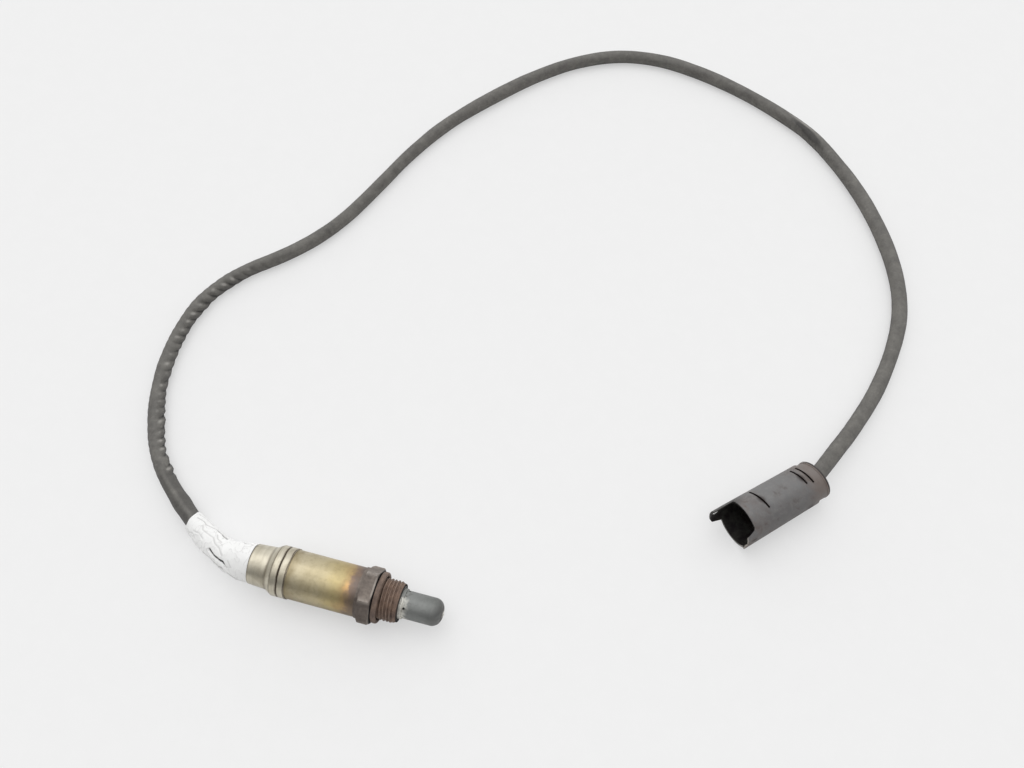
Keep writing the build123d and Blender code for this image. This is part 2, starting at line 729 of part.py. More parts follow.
# ================================================================ leads
# Each lead shows at both ends of the cable. Between them it runs inside the sleeve's solid.
start_plane = along_plane(cable_start, start_direction, level_side(start_direction))
second_plane = along_plane(second_bend, start_direction, level_side(start_direction))
end_plane = along_plane(cable_end, end_direction, level_side(end_direction))
exit_plane = along_plane(
    cable_end + end_direction * lead_exit_reach, end_direction, level_side(end_direction))
lead_names = ["signal_lead", "heater_lead_a", "ground_lead", "heater_lead_b"]
for angle, spot, lead_name in zip(lead_angles, lead_spots, lead_names):
    turn = math.radians(angle)
    bundle_spot = (bundle_circle * math.cos(turn), bundle_circle * math.sin(turn), 0)
    # The plug faces the cable, so left and right swap between the two local frames.
    seal_spot = (-pin_circle * math.cos(turn), pin_circle * math.sin(turn), 0)
    with BuildPart() as lead:
        with BuildLine() as probe_run:
            FilletPolyline(
                cross_plane(lead_core_end).from_local_coords((*spot, 0)),
                cross_plane(first_bend.X).from_local_coords((*spot, 0)),
                second_plane.from_local_coords(bundle_spot),
                start_plane.from_local_coords(bundle_spot),
                radius=lead_bend_radius,
            )
        with BuildSketch(Plane(origin=probe_run.line @ 0, z_dir=probe_run.line % 0)) as probe_cut:
            Circle(lead_radius)
        sweep(sections=probe_cut.sketch, path=probe_run.line)
        with BuildLine() as plug_run:
            FilletPolyline(
                end_plane.from_local_coords(bundle_spot),
                exit_plane.from_local_coords(bundle_spot),
                plug_plane(seal_rear - lead_entry_reach).from_local_coords(seal_spot),
                plug_plane(seal_rear + seal_length).from_local_coords(seal_spot),
                radius=lead_fan_radius,
            )
        with BuildSketch(Plane(origin=plug_run.line @ 0, z_dir=plug_run.line % 0)) as plug_cut:
            Circle(lead_radius)
        sweep(sections=plug_cut.sketch, path=plug_run.line)
    lead.part.label = lead_name
    export_step(lead.part, f"parts/{lead_name}.step")

# ================================================================ sleeved cable
# Straight runs joined by tangent arcs, each as large as its two runs allow.
arc_radii = []
for before, corner, after in zip(cable_points, cable_points[1:], cable_points[2:]):
    run_in = corner - before
    run_out = after - corner
    half_turn = math.radians(run_in.get_angle(run_out)) / 2
    arc_radii.append(fillet_share * min(run_in.length, run_out.length) / math.tan(half_turn))
with BuildPart() as cable_sleeve:
    with BuildLine() as cable_line:
        FilletPolyline(*cable_points, radius=arc_radii)
    with BuildSketch(Plane(origin=cable_start, z_dir=start_direction)) as cable_cut:
        Circle(cable_radius)
    sweep(sections=cable_cut.sketch, path=cable_line.line)
cable_sleeve.part.label = "cable_sleeve"
export_step(cable_sleeve.part, "parts/cable_sleeve.step")
cable_length = sum(edge.length for edge in cable_line.edges())
print("cable arc radii:", " ".join(f"{radius:.0f}" for radius in arc_radii))
print("cable length:", round(cable_length, 1))
print("cable volume over section times length:",
      round(cable_sleeve.part.volume / (math.pi * cable_radius**2 * cable_length), 4))

# ================================================================ plug housing
plug_tip = max(left_lug_tip, right_lug_tip)
rear_plane = leaning_plane(plug_rear, plug_rear_tilt)
rear_margin = plug_radius * math.tan(math.radians(plug_rear_tilt))
lug_cuts = [
    (left_lug_tip, left_lug_feet, left_lug_head, left_lug_round, 1),
    (right_lug_tip, right_lug_feet, right_lug_head, right_lug_round, -1),
]
with BuildPart() as plug_housing:
    with BuildSketch(plug_section):
        with BuildLine():
            Polyline(
                (plug_rear - rear_margin, plug_bore_radius),
                (plug_rear - rear_margin, plug_neck_radius),
                (plug_rear + plug_neck_length, plug_neck_radius),
                (plug_rear + plug_neck_length, plug_rear_radius),
                (plug_rim, plug_radius),
                (plug_tip, plug_radius),
                (plug_tip, mouth_bore_radius),
                (mouth_bore_rear, mouth_bore_radius),
                (mouth_bore_rear, plug_bore_radius),
                (plug_stop + plug_stop_length, plug_bore_radius),
                (plug_stop + plug_stop_length, plug_stop_radius),
                (plug_stop, plug_stop_radius),
                (plug_stop, plug_bore_radius),
                close=True,
            )
        make_face()
    revolve(axis=plug_axis)
    split(bisect_by=rear_plane, keep=Keep.TOP)
    # Past the lower rim only the two side lugs stay, each with a rounded tip.
    cut_length = plug_tip - plug_rim + cut_margin
    for lug_tip, lug_feet, lug_head, tip_round, hand in lug_cuts:
        lug_root = plug_rim - 2 * tip_round
        with BuildSketch(plug_section):
            with Locations((plug_rim + cut_length / 2, 0)):
                Rectangle(cut_length, 2 * (plug_radius + cut_margin))
            with BuildLine():
                FilletPolyline(
                    (lug_root, lug_feet[0]), (lug_tip, lug_feet[1]),
                    (lug_tip, lug_head), (lug_root, lug_head),
                    radius=tip_round,
                    close=True,
                )
            make_face(mode=Mode.SUBTRACT)
        extrude(amount=hand * (plug_radius + cut_margin), mode=Mode.SUBTRACT)
    # Finger notch in the upper rim, with a sloping right side.
    with BuildSketch(Plane(origin=plug_origin, x_dir=plug_side, z_dir=up)):
        with BuildLine():
            FilletPolyline(
                (-notch_left, -plug_tip - cut_margin),
                (-notch_left, -notch_floor),
                (notch_floor_right, -notch_floor),
                (notch_right, -notch_slope_top),
                (notch_right, -plug_tip - cut_margin),
                radius=notch_round,
                close=True,
            )
        make_face()
    extrude(amount=plug_radius + cut_margin, mode=Mode.SUBTRACT)
    # Latch window in the left lug.
    with BuildSketch(plug_section.offset(plug_bore_radius / 2)):
        with Locations(window_place):
            RectangleRounded(window_length, window_height, window_length / 4)
    extrude(amount=plug_radius, mode=Mode.SUBTRACT)
    # Narrow latch slits part of the way round, leaning after the cable.
    slit_floor = plug_rear_radius - slit_depth
    for station, start, end in zip(slit_stations, slit_starts, slit_ends):
        leaning = leaning_plane(station, slit_lean)
        with BuildSketch(leaning):
            with BuildLine():
                outer_arc = CenterArc((0, 0), plug_radius + slit_depth, start, end - start)
                inner_arc = CenterArc((0, 0), slit_floor, start, end - start)
                Line(outer_arc @ 0, inner_arc @ 0)
                Line(outer_arc @ 1, inner_arc @ 1)
            make_face()
        extrude(amount=slit_width / 2, both=True, mode=Mode.SUBTRACT)
    # Sloping slot of the side catch, low on the right.
    with BuildSketch(plug_section.offset(catch_depth - plug_rear_radius)):
        with Locations(Location(catch_place, catch_turn)):
            RectangleRounded(catch_length, catch_width, catch_width / 3)
    extrude(amount=-2 * catch_depth, mode=Mode.SUBTRACT)
plug_housing.part.label = "plug_housing"
export_step(plug_housing.part, "parts/plug_housing.step")

# ================================================================ plug retainer
# Rear ring: a rounded flange on the housing's end and a spigot that holds the seal.
spigot_radius = plug_bore_radius - fit_gap
with BuildPart() as plug_retainer:
    with BuildSketch(plug_plane(seal_rear)):
        Circle(spigot_radius)
        Circle(spigot_radius - retainer_spigot_wall, mode=Mode.SUBTRACT)
    extrude(amount=plug_rear - rear_margin - seal_rear)
    split(bisect_by=rear_plane, keep=Keep.TOP)
    with BuildSketch(rear_plane):
        Circle(retainer_radius)
        Circle(retainer_opening, mode=Mode.SUBTRACT)
    extrude(amount=-retainer_thickness)
    rear_edges = plug_retainer.edges().filter_by(GeomType.CIRCLE).group_by(
        Axis(plug_origin, rear_plane.z_dir))[0]
    fillet(rear_edges.sort_by(SortBy.RADIUS)[-1], retainer_round)
plug_retainer.part.label = "plug_retainer"
export_step(plug_retainer.part, "parts/plug_retainer.step")

# ================================================================ wire seal
pin_spots = [
    (pin_circle * math.cos(math.radians(angle)), pin_circle * math.sin(math.radians(angle)))
    for angle in lead_angles
]
with BuildPart() as wire_seal:
    with BuildSketch(plug_plane(seal_rear)):
        Circle(spigot_radius)
        with Locations(*pin_spots):
            Circle(lead_radius + wire_gap, mode=Mode.SUBTRACT)
    extrude(amount=seal_length)
    # Groove between the seal's two lips.
    with BuildSketch(plug_section):
        with Locations((seal_rear + seal_length / 2, spigot_radius)):
            Rectangle(seal_length / 3, 2 * seal_groove_depth)
    revolve(axis=plug_axis, mode=Mode.SUBTRACT)
wire_seal.part.label = "wire_seal"
export_step(wire_seal.part, "parts/wire_seal.step")

# ================================================================ pin carrier
with BuildPart() as pin_carrier:
    with BuildSketch(plug_plane(carrier_rear)):
        Circle(spigot_radius)
    extrude(amount=plug_stop - carrier_rear)
    with BuildSketch(plug_plane(plug_stop)):
        Circle(carrier_nose_radius)
    extrude(amount=plug_stop_length)
    with BuildSketch(plug_plane(carrier_rear)):
        with Locations(*pin_spots):
            Circle(barrel_radius + wire_gap)
    extrude(amount=barrel_front - carrier_rear, mode=Mode.SUBTRACT)
    with BuildSketch(plug_plane(barrel_front)):
        with Locations(*pin_spots):
            Circle(pin_radius + wire_gap)
    extrude(amount=plug_stop + plug_stop_length - barrel_front, mode=Mode.SUBTRACT)
pin_carrier.part.label = "pin_carrier"
export_step(pin_carrier.part, "parts/pin_carrier.step")

# ================================================================ contact pins
# The plug faces the cable, so the pins' sides are swapped like the leads'.
pin_names = ["signal_pin", "heater_pin_a", "ground_pin", "heater_pin_b"]
for spot, pin_name in zip(pin_spots, pin_names):
    mirrored_spot = (-spot[0], spot[1])
    with BuildPart() as pin:
        with BuildSketch(plug_plane(seal_rear + seal_length)):
            with Locations(mirrored_spot):
                Circle(barrel_radius)
        extrude(amount=barrel_front - seal_rear - seal_length)
        with BuildSketch(plug_plane(barrel_front)):
            with Locations(mirrored_spot):
                Circle(pin_radius)
        extrude(amount=pin_tip - barrel_front)
        fillet(pin.edges().group_by(plug_axis)[-1], pin_tip_round)
    pin.part.label = pin_name
    export_step(pin.part, f"parts/{pin_name}.step")

# ================================================================ mouth seal
with BuildPart() as mouth_seal:
    with BuildSketch(plug_plane(plug_stop + plug_stop_length)):
        Circle(plug_bore_radius - fit_gap)
        Circle(mouth_seal_inner_radius, mode=Mode.SUBTRACT)
    extrude(amount=mouth_seal_length)
mouth_seal.part.label = "mouth_seal"
export_step(mouth_seal.part, "parts/mouth_seal.step")
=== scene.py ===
"""Heated oxygen sensor: a threaded probe, a taped lead exit, a wrinkled sleeve and a round plug.

Everything is in metres in the part's own frame: the probe lies along X with its tip towards +X,
the floor is Z = 0, and the sleeve runs in a loop on the floor to the plug at +X, +Y.
"""

import math

import bmesh
import bpy
from mathutils import Matrix, Vector, noise


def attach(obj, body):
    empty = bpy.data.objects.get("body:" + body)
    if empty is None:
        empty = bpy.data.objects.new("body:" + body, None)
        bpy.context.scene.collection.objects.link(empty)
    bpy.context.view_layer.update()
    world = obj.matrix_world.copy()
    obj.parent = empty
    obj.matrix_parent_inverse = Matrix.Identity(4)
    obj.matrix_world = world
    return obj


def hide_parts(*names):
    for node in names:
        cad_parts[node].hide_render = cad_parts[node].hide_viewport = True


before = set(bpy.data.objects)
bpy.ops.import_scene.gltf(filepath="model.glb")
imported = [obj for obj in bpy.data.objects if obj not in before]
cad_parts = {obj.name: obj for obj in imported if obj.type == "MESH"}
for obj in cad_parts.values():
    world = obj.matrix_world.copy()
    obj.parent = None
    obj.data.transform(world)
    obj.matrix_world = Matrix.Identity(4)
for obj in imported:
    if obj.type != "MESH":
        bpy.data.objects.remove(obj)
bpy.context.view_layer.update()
bpy.ops.object.select_all(action="DESELECT")

MM = 0.001

# ---------------------------------------------------------------- places on the probe
PROBE_HEIGHT = 11.0 * MM    # the axis over the floor: the hexagon rests on a flat
CAP_FRONT = -23.7 * MM
FLANGE_REAR = 7.1 * MM
THREAD_END = 25.1 * MM
VENT_FACE = 42.85 * MM
TUBE_TIP = 43.3 * MM
THREAD_PITCH = 1.5          # in mm

# ---------------------------------------------------------------- places on the plug
PLUG_PLACE = Vector((0.1714, 0.08695, 0.0105))
PLUG_TURN = math.radians(225.3)         # direction of the mouth
RETAINER_REAR = -21.3 * MM
RETAINER_LEAN = math.radians(6)

# ---------------------------------------------------------------- camera
camera_place = Vector((0.1012, -0.1058, 0.4272))
camera_aim = Vector((0.04107, 0.12020, 0.0))
camera_roll = math.radians(0.2)

ahead = (camera_aim - camera_place).normalized()
level_right = ahead.cross(Vector((0, 0, 1))).normalized()
level_up = level_right.cross(ahead)
right = level_right * math.cos(camera_roll) + level_up * math.sin(camera_roll)
up = level_up * math.cos(camera_roll) - level_right * math.sin(camera_roll)
facing = Matrix((right, up, -ahead)).transposed()
bpy.ops.object.camera_add(location=camera_place, rotation=facing.to_euler())
camera = bpy.context.object
camera.name = "studio_camera"
camera.data.sensor_width = 36.0
camera.data.lens = 35.16
camera.data.clip_start = 0.01
bpy.context.scene.camera = camera


# ---------------------------------------------------------------- finishes
def tint(red, green, blue):
    """A colour as it looks, 0 to 255, in the linear values that a shader takes."""
    parts = []
    for part in (red, green, blue):
        share = part / 255
        parts.append(share / 12.92 if share <= 0.04045 else ((share + 0.055) / 1.055) ** 2.4)
    return (*parts, 1.0)


class Finish:
    """One procedural finish on object coordinates."""

    def __init__(self, name, **sockets):
        self.material = bpy.data.materials.new(name)
        self.material.use_nodes = True
        self.nodes = self.material.node_tree.nodes
        self.links = self.material.node_tree.links
        self.shader = self.nodes["Principled BSDF"]
        self.place = self.nodes.new("ShaderNodeTexCoord").outputs["Object"]
        for socket, value in sockets.items():
            self.shader.inputs[socket.replace("_", " ")].default_value = value

    def join(self, value, socket):
        """Puts a link, a colour or a number into a socket."""
        if isinstance(value, bpy.types.NodeSocket):
            self.links.new(value, socket)
        else:
            socket.default_value = value

    def set(self, socket, value):
        self.join(value, self.shader.inputs[socket])

    def mapped(self, scale=(1, 1, 1), turn=(0, 0, 0), shift=(0, 0, 0)):
        """Object coordinates that are scaled, turned and shifted."""
        node = self.nodes.new("ShaderNodeMapping")
        self.links.new(self.place, node.inputs["Vector"])
        node.inputs["Scale"].default_value = scale
        node.inputs["Rotation"].default_value = turn
        node.inputs["Location"].default_value = shift
        return node.outputs["Vector"]

    def axis(self, name):
        node = self.nodes.new("ShaderNodeSeparateXYZ")
        self.links.new(self.place, node.inputs[0])
        return node.outputs[name]

    def attribute(self, name):
        node = self.nodes.new("ShaderNodeAttribute")
        node.attribute_name = name
        return node.outputs["Fac"]

    def grain(self, scale, detail=4.0, rough=0.5, warp=0.0, vector=None):
        node = self.nodes.new("ShaderNodeTexNoise")
        self.links.new(vector or self.place, node.inputs["Vector"])
        node.inputs["Scale"].default_value = scale
        node.inputs["Detail"].default_value = detail
        node.inputs["Roughness"].default_value = rough
        node.inputs["Distortion"].default_value = warp
        return node.outputs["Fac"]

    def math(self, operation, first, second=0.0):
        node = self.nodes.new("ShaderNodeMath")
        node.operation = operation
        self.join(first, node.inputs[0])
        self.join(second, node.inputs[1])
        return node.outputs[0]

    def times(self, *factors):
        """The product of several links and numbers."""
        product = factors[0]
        for factor in factors[1:]:
            product = self.math("MULTIPLY", product, factor)
        return product

    def apart(self, value, place):
        """How far a value is from a place, either way."""
        return self.math("ABSOLUTE", self.math("SUBTRACT", value, place))

    def spread(self, value, low, high, new_low=0.0, new_high=1.0):
        """A value carried from one range to another and held at its ends."""
        node = self.nodes.new("ShaderNodeMapRange")
        self.join(value, node.inputs["Value"])
        for socket, number in zip(("From Min", "From Max", "To Min", "To Max"),
                                  (low, high, new_low, new_high)):
            node.inputs[socket].default_value = number
        return node.outputs["Result"]

    def ramp(self, value, *stops):
        node = self.nodes.new("ShaderNodeValToRGB")
        self.join(value, node.inputs["Fac"])
        elements = node.color_ramp.elements
        while len(elements) < len(stops):
            elements.new(0.5)
        for element, (position, colour) in zip(elements, stops):
            element.position = position
            element.color = colour
        return node.outputs["Color"]

    def mix(self, factor, first, second, mode="MIX"):
        node = self.nodes.new("ShaderNodeMix")
        node.data_type = "RGBA"
        node.blend_type = mode
        self.join(factor, node.inputs["Factor"])
        self.join(first, node.inputs[6])
        self.join(second, node.inputs[7])
        return node.outputs[2]

    def bump(self, height, strength, distance, under=None):
        node = self.nodes.new("ShaderNodeBump")
        node.inputs["Strength"].default_value = strength
        node.inputs["Distance"].default_value = distance
        self.join(height, node.inputs["Height"])
        if under is not None:
            self.links.new(under, node.inputs["Normal"])
        return node.outputs["Normal"]


def shell_finish():
    """Stainless shell, straw at the rear and tinted by heat towards the hexagon."""
    f = Finish("heat_tinted_shell", Metallic=0.8)
    wander = f.grain(120, 4, 0.6, 0.4)
    along = f.math("ADD", f.axis("X"), f.spread(wander, 0.3, 0.7, -2.4 * MM, 2.4 * MM))
    colour = f.ramp(
        f.spread(along, CAP_FRONT, FLANGE_REAR),
        (0.0, tint(158, 146, 118)),
        (0.12, tint(182, 172, 146)),
        (0.45, tint(184, 172, 140)),
        (0.70, tint(182, 166, 122)),
        (0.83, tint(172, 148, 106)),
        (0.90, tint(134, 114, 98)),
        (1.0, tint(110, 98, 92)),
    )
    # Painted shade, in brown, low down on both sides, with darker smears running round.
    lower_shade = f.spread(f.math("ADD", f.axis("Z"), f.spread(wander, 0.3, 0.7, -1.0 * MM, 1.0 * MM)),
                     8.5 * MM, 15.0 * MM, 0.7, 0.0)
    colour = f.mix(lower_shade, colour, tint(122, 108, 76))
    smear = f.grain(95, 6, 0.65, 0.6, f.mapped((1.2, 0.5, 0.5)))
    colour = f.mix(f.spread(smear, 0.46, 0.78, 0.0, 0.5), colour, tint(134, 120, 88))
    grit = f.grain(520, 5, 0.7)
    colour = f.mix(f.spread(grit, 0.5, 0.75, 0.0, 0.35), colour, tint(112, 98, 72))
    # One orange heat-tint fleck where the tint turns brown, painted pale as a highlight on the top.
    glow = f.times(f.spread(along, 1.0 * MM, 2.6 * MM),
                   f.spread(along, 3.0 * MM, 4.4 * MM, 1.0, 0.0),
                   f.spread(f.apart(f.axis("Y"), -2 * MM), 0.5 * MM, 3.0 * MM, 0.5, 0.0),
                   f.spread(f.axis("Z"), 15 * MM, 18 * MM))
    colour = f.mix(glow, colour, tint(232, 184, 122))
    f.set("Base Color", colour)
    rub = f.grain(900, 2, 0.5, 0, f.mapped((0.04, 1, 1)))
    f.set("Roughness", f.math("ADD", f.spread(smear, 0.3, 0.7, 0.34, 0.48),
                              f.spread(rub, 0.3, 0.7, -0.03, 0.05)))
    f.set("Normal", f.bump(f.grain(260, 5, 0.6), 0.12, 0.4 * MM))
    return f.material


def cap_finish():
    """Drawn silver cap, streaked round, with grime in patches and dark brown lines in the crimp and
    along its edges.
    """
    f = Finish("drawn_cap", Metallic=0.8)
    streak = f.grain(420, 3, 0.6, 0, f.mapped((1, 0.12, 0.12)))
    grime = f.grain(90, 6, 0.7, 0.4)
    colour = f.ramp(streak, (0.25, tint(172, 165, 146)), (0.75, tint(210, 204, 188)))
    colour = f.mix(f.spread(grime, 0.45, 0.8, 0.0, 0.6), colour, tint(122, 108, 84))
    sway = f.math("ADD", f.axis("X"), f.spread(grime, 0.3, 0.7, -0.25 * MM, 0.25 * MM))
    # Dark brown lines round the cap's grooves and edges: station and reach in mm, and strength.
    for place, reach, strength in ((-27.3, 0.75, 0.9), (-24.0, 0.5, 0.85), (-30.6, 0.5, 0.5),
                                   (-33.2, 0.9, 0.4), (-41.6, 0.5, 0.35)):
        line = f.spread(f.apart(sway, place * MM), 0.2 * reach * MM, reach * MM, strength, 0.0)
        colour = f.mix(line, colour, tint(66, 52, 38))
    f.set("Base Color", colour)
    f.set("Roughness", f.spread(grime, 0.3, 0.7, 0.3, 0.48))
    f.set("Normal", f.bump(streak, 0.15, 0.3 * MM))
    return f.material


def rust_finish(name, dark, mid, light, worn, scab_depth=0.6):
    """Scabbed, rusted steel; the function `worn` adds a piece's own rubbed and dark places, and its
    painted shade.
    """
    f = Finish(name, Metallic=0.2)
    patch = f.grain(190, 8, 0.68, 0.5)
    fine = f.grain(950, 6, 0.7)
    colour = f.ramp(patch, (0.32, dark), (0.5, mid), (0.68, light))
    colour = f.mix(f.spread(fine, 0.42, 0.72, 0.0, 0.45), colour, dark)
    f.set("Base Color", worn(f, colour))
    f.set("Roughness", f.spread(patch, 0.3, 0.7, 0.45, 0.75))
    f.set("Normal", f.bump(fine, 0.5, 0.25 * MM, f.bump(patch, 0.5, scab_depth * MM)))
    return f.material


def from_axis(f):
    """Distance from the sensor's axis."""
    high = f.math("SUBTRACT", f.axis("Z"), PROBE_HEIGHT)
    wide = f.axis("Y")
    return f.math("SQRT", f.math("ADD", f.times(high, high), f.times(wide, wide)))


def worn_corners_and_shade(f, colour):
    """Pale nicks on the hexagon's corners, painted shade on the facets facing the front, and a
    painted black shadow in the joint before the ring.
    """
    corner = f.times(f.spread(from_axis(f), 11.9 * MM, 12.5 * MM),
                     f.spread(f.grain(950, 6, 0.7), 0.4, 0.6, 0.25, 1.0))
    front = f.times(f.spread(f.axis("X"), 13.2 * MM, 13.6 * MM),
                    f.spread(f.axis("X"), 14.0 * MM, 14.2 * MM, 1.0, 0.0),
                    f.spread(f.grain(120, 4, 0.6), 0.48, 0.6))
    colour = f.mix(f.times(f.math("MAXIMUM", corner, front), 0.7), colour, tint(172, 164, 156))
    # Painted shade: the facets facing the front are darker.
    low = f.spread(f.axis("Y"), -6.0 * MM, -7.5 * MM, 0.0, 0.5)
    colour = f.mix(low, colour, tint(70, 60, 54))
    # Painted shadow: black in the gap before the ring.
    painted_shade = f.spread(f.axis("X"), 14.05 * MM, 14.2 * MM)
    return f.mix(painted_shade, colour, tint(24, 20, 18))


def worn_thread(f, colour):
    """Rubbed crests, and a dark lip at the thread's front end."""
    crest = f.times(f.spread(from_axis(f), 8.65 * MM, 8.95 * MM),
                    f.spread(f.grain(260, 5, 0.65), 0.4, 0.62), 0.65)
    colour = f.mix(crest, colour, tint(146, 126, 112))
    lip = f.spread(f.axis("X"), 24.7 * MM, 25.05 * MM)
    return f.mix(lip, colour, tint(46, 36, 32))


def ring_joint_shadow(f, colour):
    """Painted shadow where the ring meets the hexagon."""
    return f.mix(f.spread(f.axis("X"), 14.9 * MM, 14.6 * MM), colour, tint(30, 24, 22))


def tube_finish():
    """Scorched protection tube, burnished low down where it meets the thread."""
    f = Finish("scorched_tube", Metallic=0.5)
    cloud = f.grain(150, 7, 0.65, 0.6)
    place = f.math("ADD", f.axis("X"), f.spread(cloud, 0.3, 0.7, -1.6 * MM, 1.6 * MM))
    colour = f.ramp(
        f.spread(place, THREAD_END, TUBE_TIP),
        (0.0, tint(146, 147, 143)),
        (0.2, tint(128, 130, 128)),
        (0.6, tint(122, 124, 122)),
        (0.86, tint(110, 111, 109)),
        (1.0, tint(92, 92, 90)),
    )
    colour = f.mix(f.spread(f.grain(90, 5, 0.6, 0.5), 0.5, 0.75, 0.0, 0.5), colour,
                   tint(92, 96, 93))
    front = f.spread(f.math("ADD", f.axis("Y"), f.spread(cloud, 0.3, 0.7, -2 * MM, 2 * MM)),
                     2.2 * MM, -0.2 * MM)
    burnish = f.times(front, f.spread(place, 29.2 * MM, 27.2 * MM))
    colour = f.mix(burnish, colour, tint(212, 210, 202))
    speck = f.grain(650, 5, 0.7)
    near = f.spread(f.axis("X"), THREAD_END, 31 * MM, 0.8, 0.2)
    colour = f.mix(f.times(f.spread(speck, 0.52, 0.66), near), colour, tint(62, 58, 52))
    # The vent's face is dark with soot, and a painted highlight sits on its middle.
    vent = f.spread(f.axis("X"), VENT_FACE, VENT_FACE + 0.15 * MM)
    colour = f.mix(f.times(vent, 0.7), colour, tint(66, 64, 60))
    colour = f.mix(f.times(vent, f.spread(from_axis(f), 1.5 * MM, 1.0 * MM)), colour,
                   tint(228, 226, 220))
    f.set("Base Color", colour)
    f.set("Roughness", f.spread(cloud, 0.3, 0.7, 0.4, 0.58))
    f.set("Normal", f.bump(speck, 0.2, 0.2 * MM))
    return f.material


def plug_axes(f):
    """Station along the plug, side and height over its axis, and distance from it."""
    back = Matrix.Rotation(-PLUG_TURN, 3, "Z") @ PLUG_PLACE
    node = f.nodes.new("ShaderNodeSeparateXYZ")
    f.links.new(f.mapped((1, 1, 1), (0, 0, -PLUG_TURN), -back), node.inputs[0])
    station, side, height = node.outputs
    reach = f.math("SQRT", f.math("ADD", f.times(side, side), f.times(height, height)))
    return station, side, height, reach


def housing_shade_and_scratch(f, station, side, height, fine):
    """Painted shade round the slits, widest halfway along them, and by the side catch, and a dark
    scratch.
    """
    lean = f.times(side, math.tan(math.radians(9)))
    painted_shade = 0.0
    # Station, middle and half length in mm, and strength.
    for place, middle, half, strength in ((8.1, -2.2, 5.2, 0.95), (-13.2, -1.5, 5.5, 0.95),
                                          (-16.1, 0.0, 5.5, 0.9)):
        off = f.apart(f.math("ADD", station, lean), place * MM)
        aside = f.apart(side, middle * MM)
        width = f.spread(aside, 0.15 * half * MM, half * MM, 1.9 * MM, -0.3 * MM)
        near = f.spread(f.math("SUBTRACT", width, off), 0.0, 1.3 * MM, 0.0, strength)
        painted_shade = f.math("MAXIMUM", painted_shade, near)
    catch = f.times(f.spread(f.apart(station, -12.2 * MM), 0.8 * MM, 2.8 * MM, 1.0, 0.0),
                    f.spread(height, 1.2 * MM, 3.6 * MM, 1.0, 0.0),
                    f.spread(fine, 0.35, 0.55, 0.7, 1.0))
    painted_shade = f.math("MAXIMUM", painted_shade, f.times(catch, f.spread(side, 7 * MM, 8 * MM)))
    painted_shade = f.times(painted_shade, f.spread(height, -4 * MM, -3 * MM))
    # The scratch lies by the right hand hook.
    scratch = f.times(f.spread(f.apart(station, 19.4 * MM), 0.6 * MM, 1.9 * MM, 0.9, 0.0),
                      f.spread(f.apart(height, 2.6 * MM), 0.2 * MM, 1.0 * MM, 1.0, 0.0),
                      f.spread(side, 7 * MM, 8 * MM))
    return f.math("MAXIMUM", painted_shade, scratch)


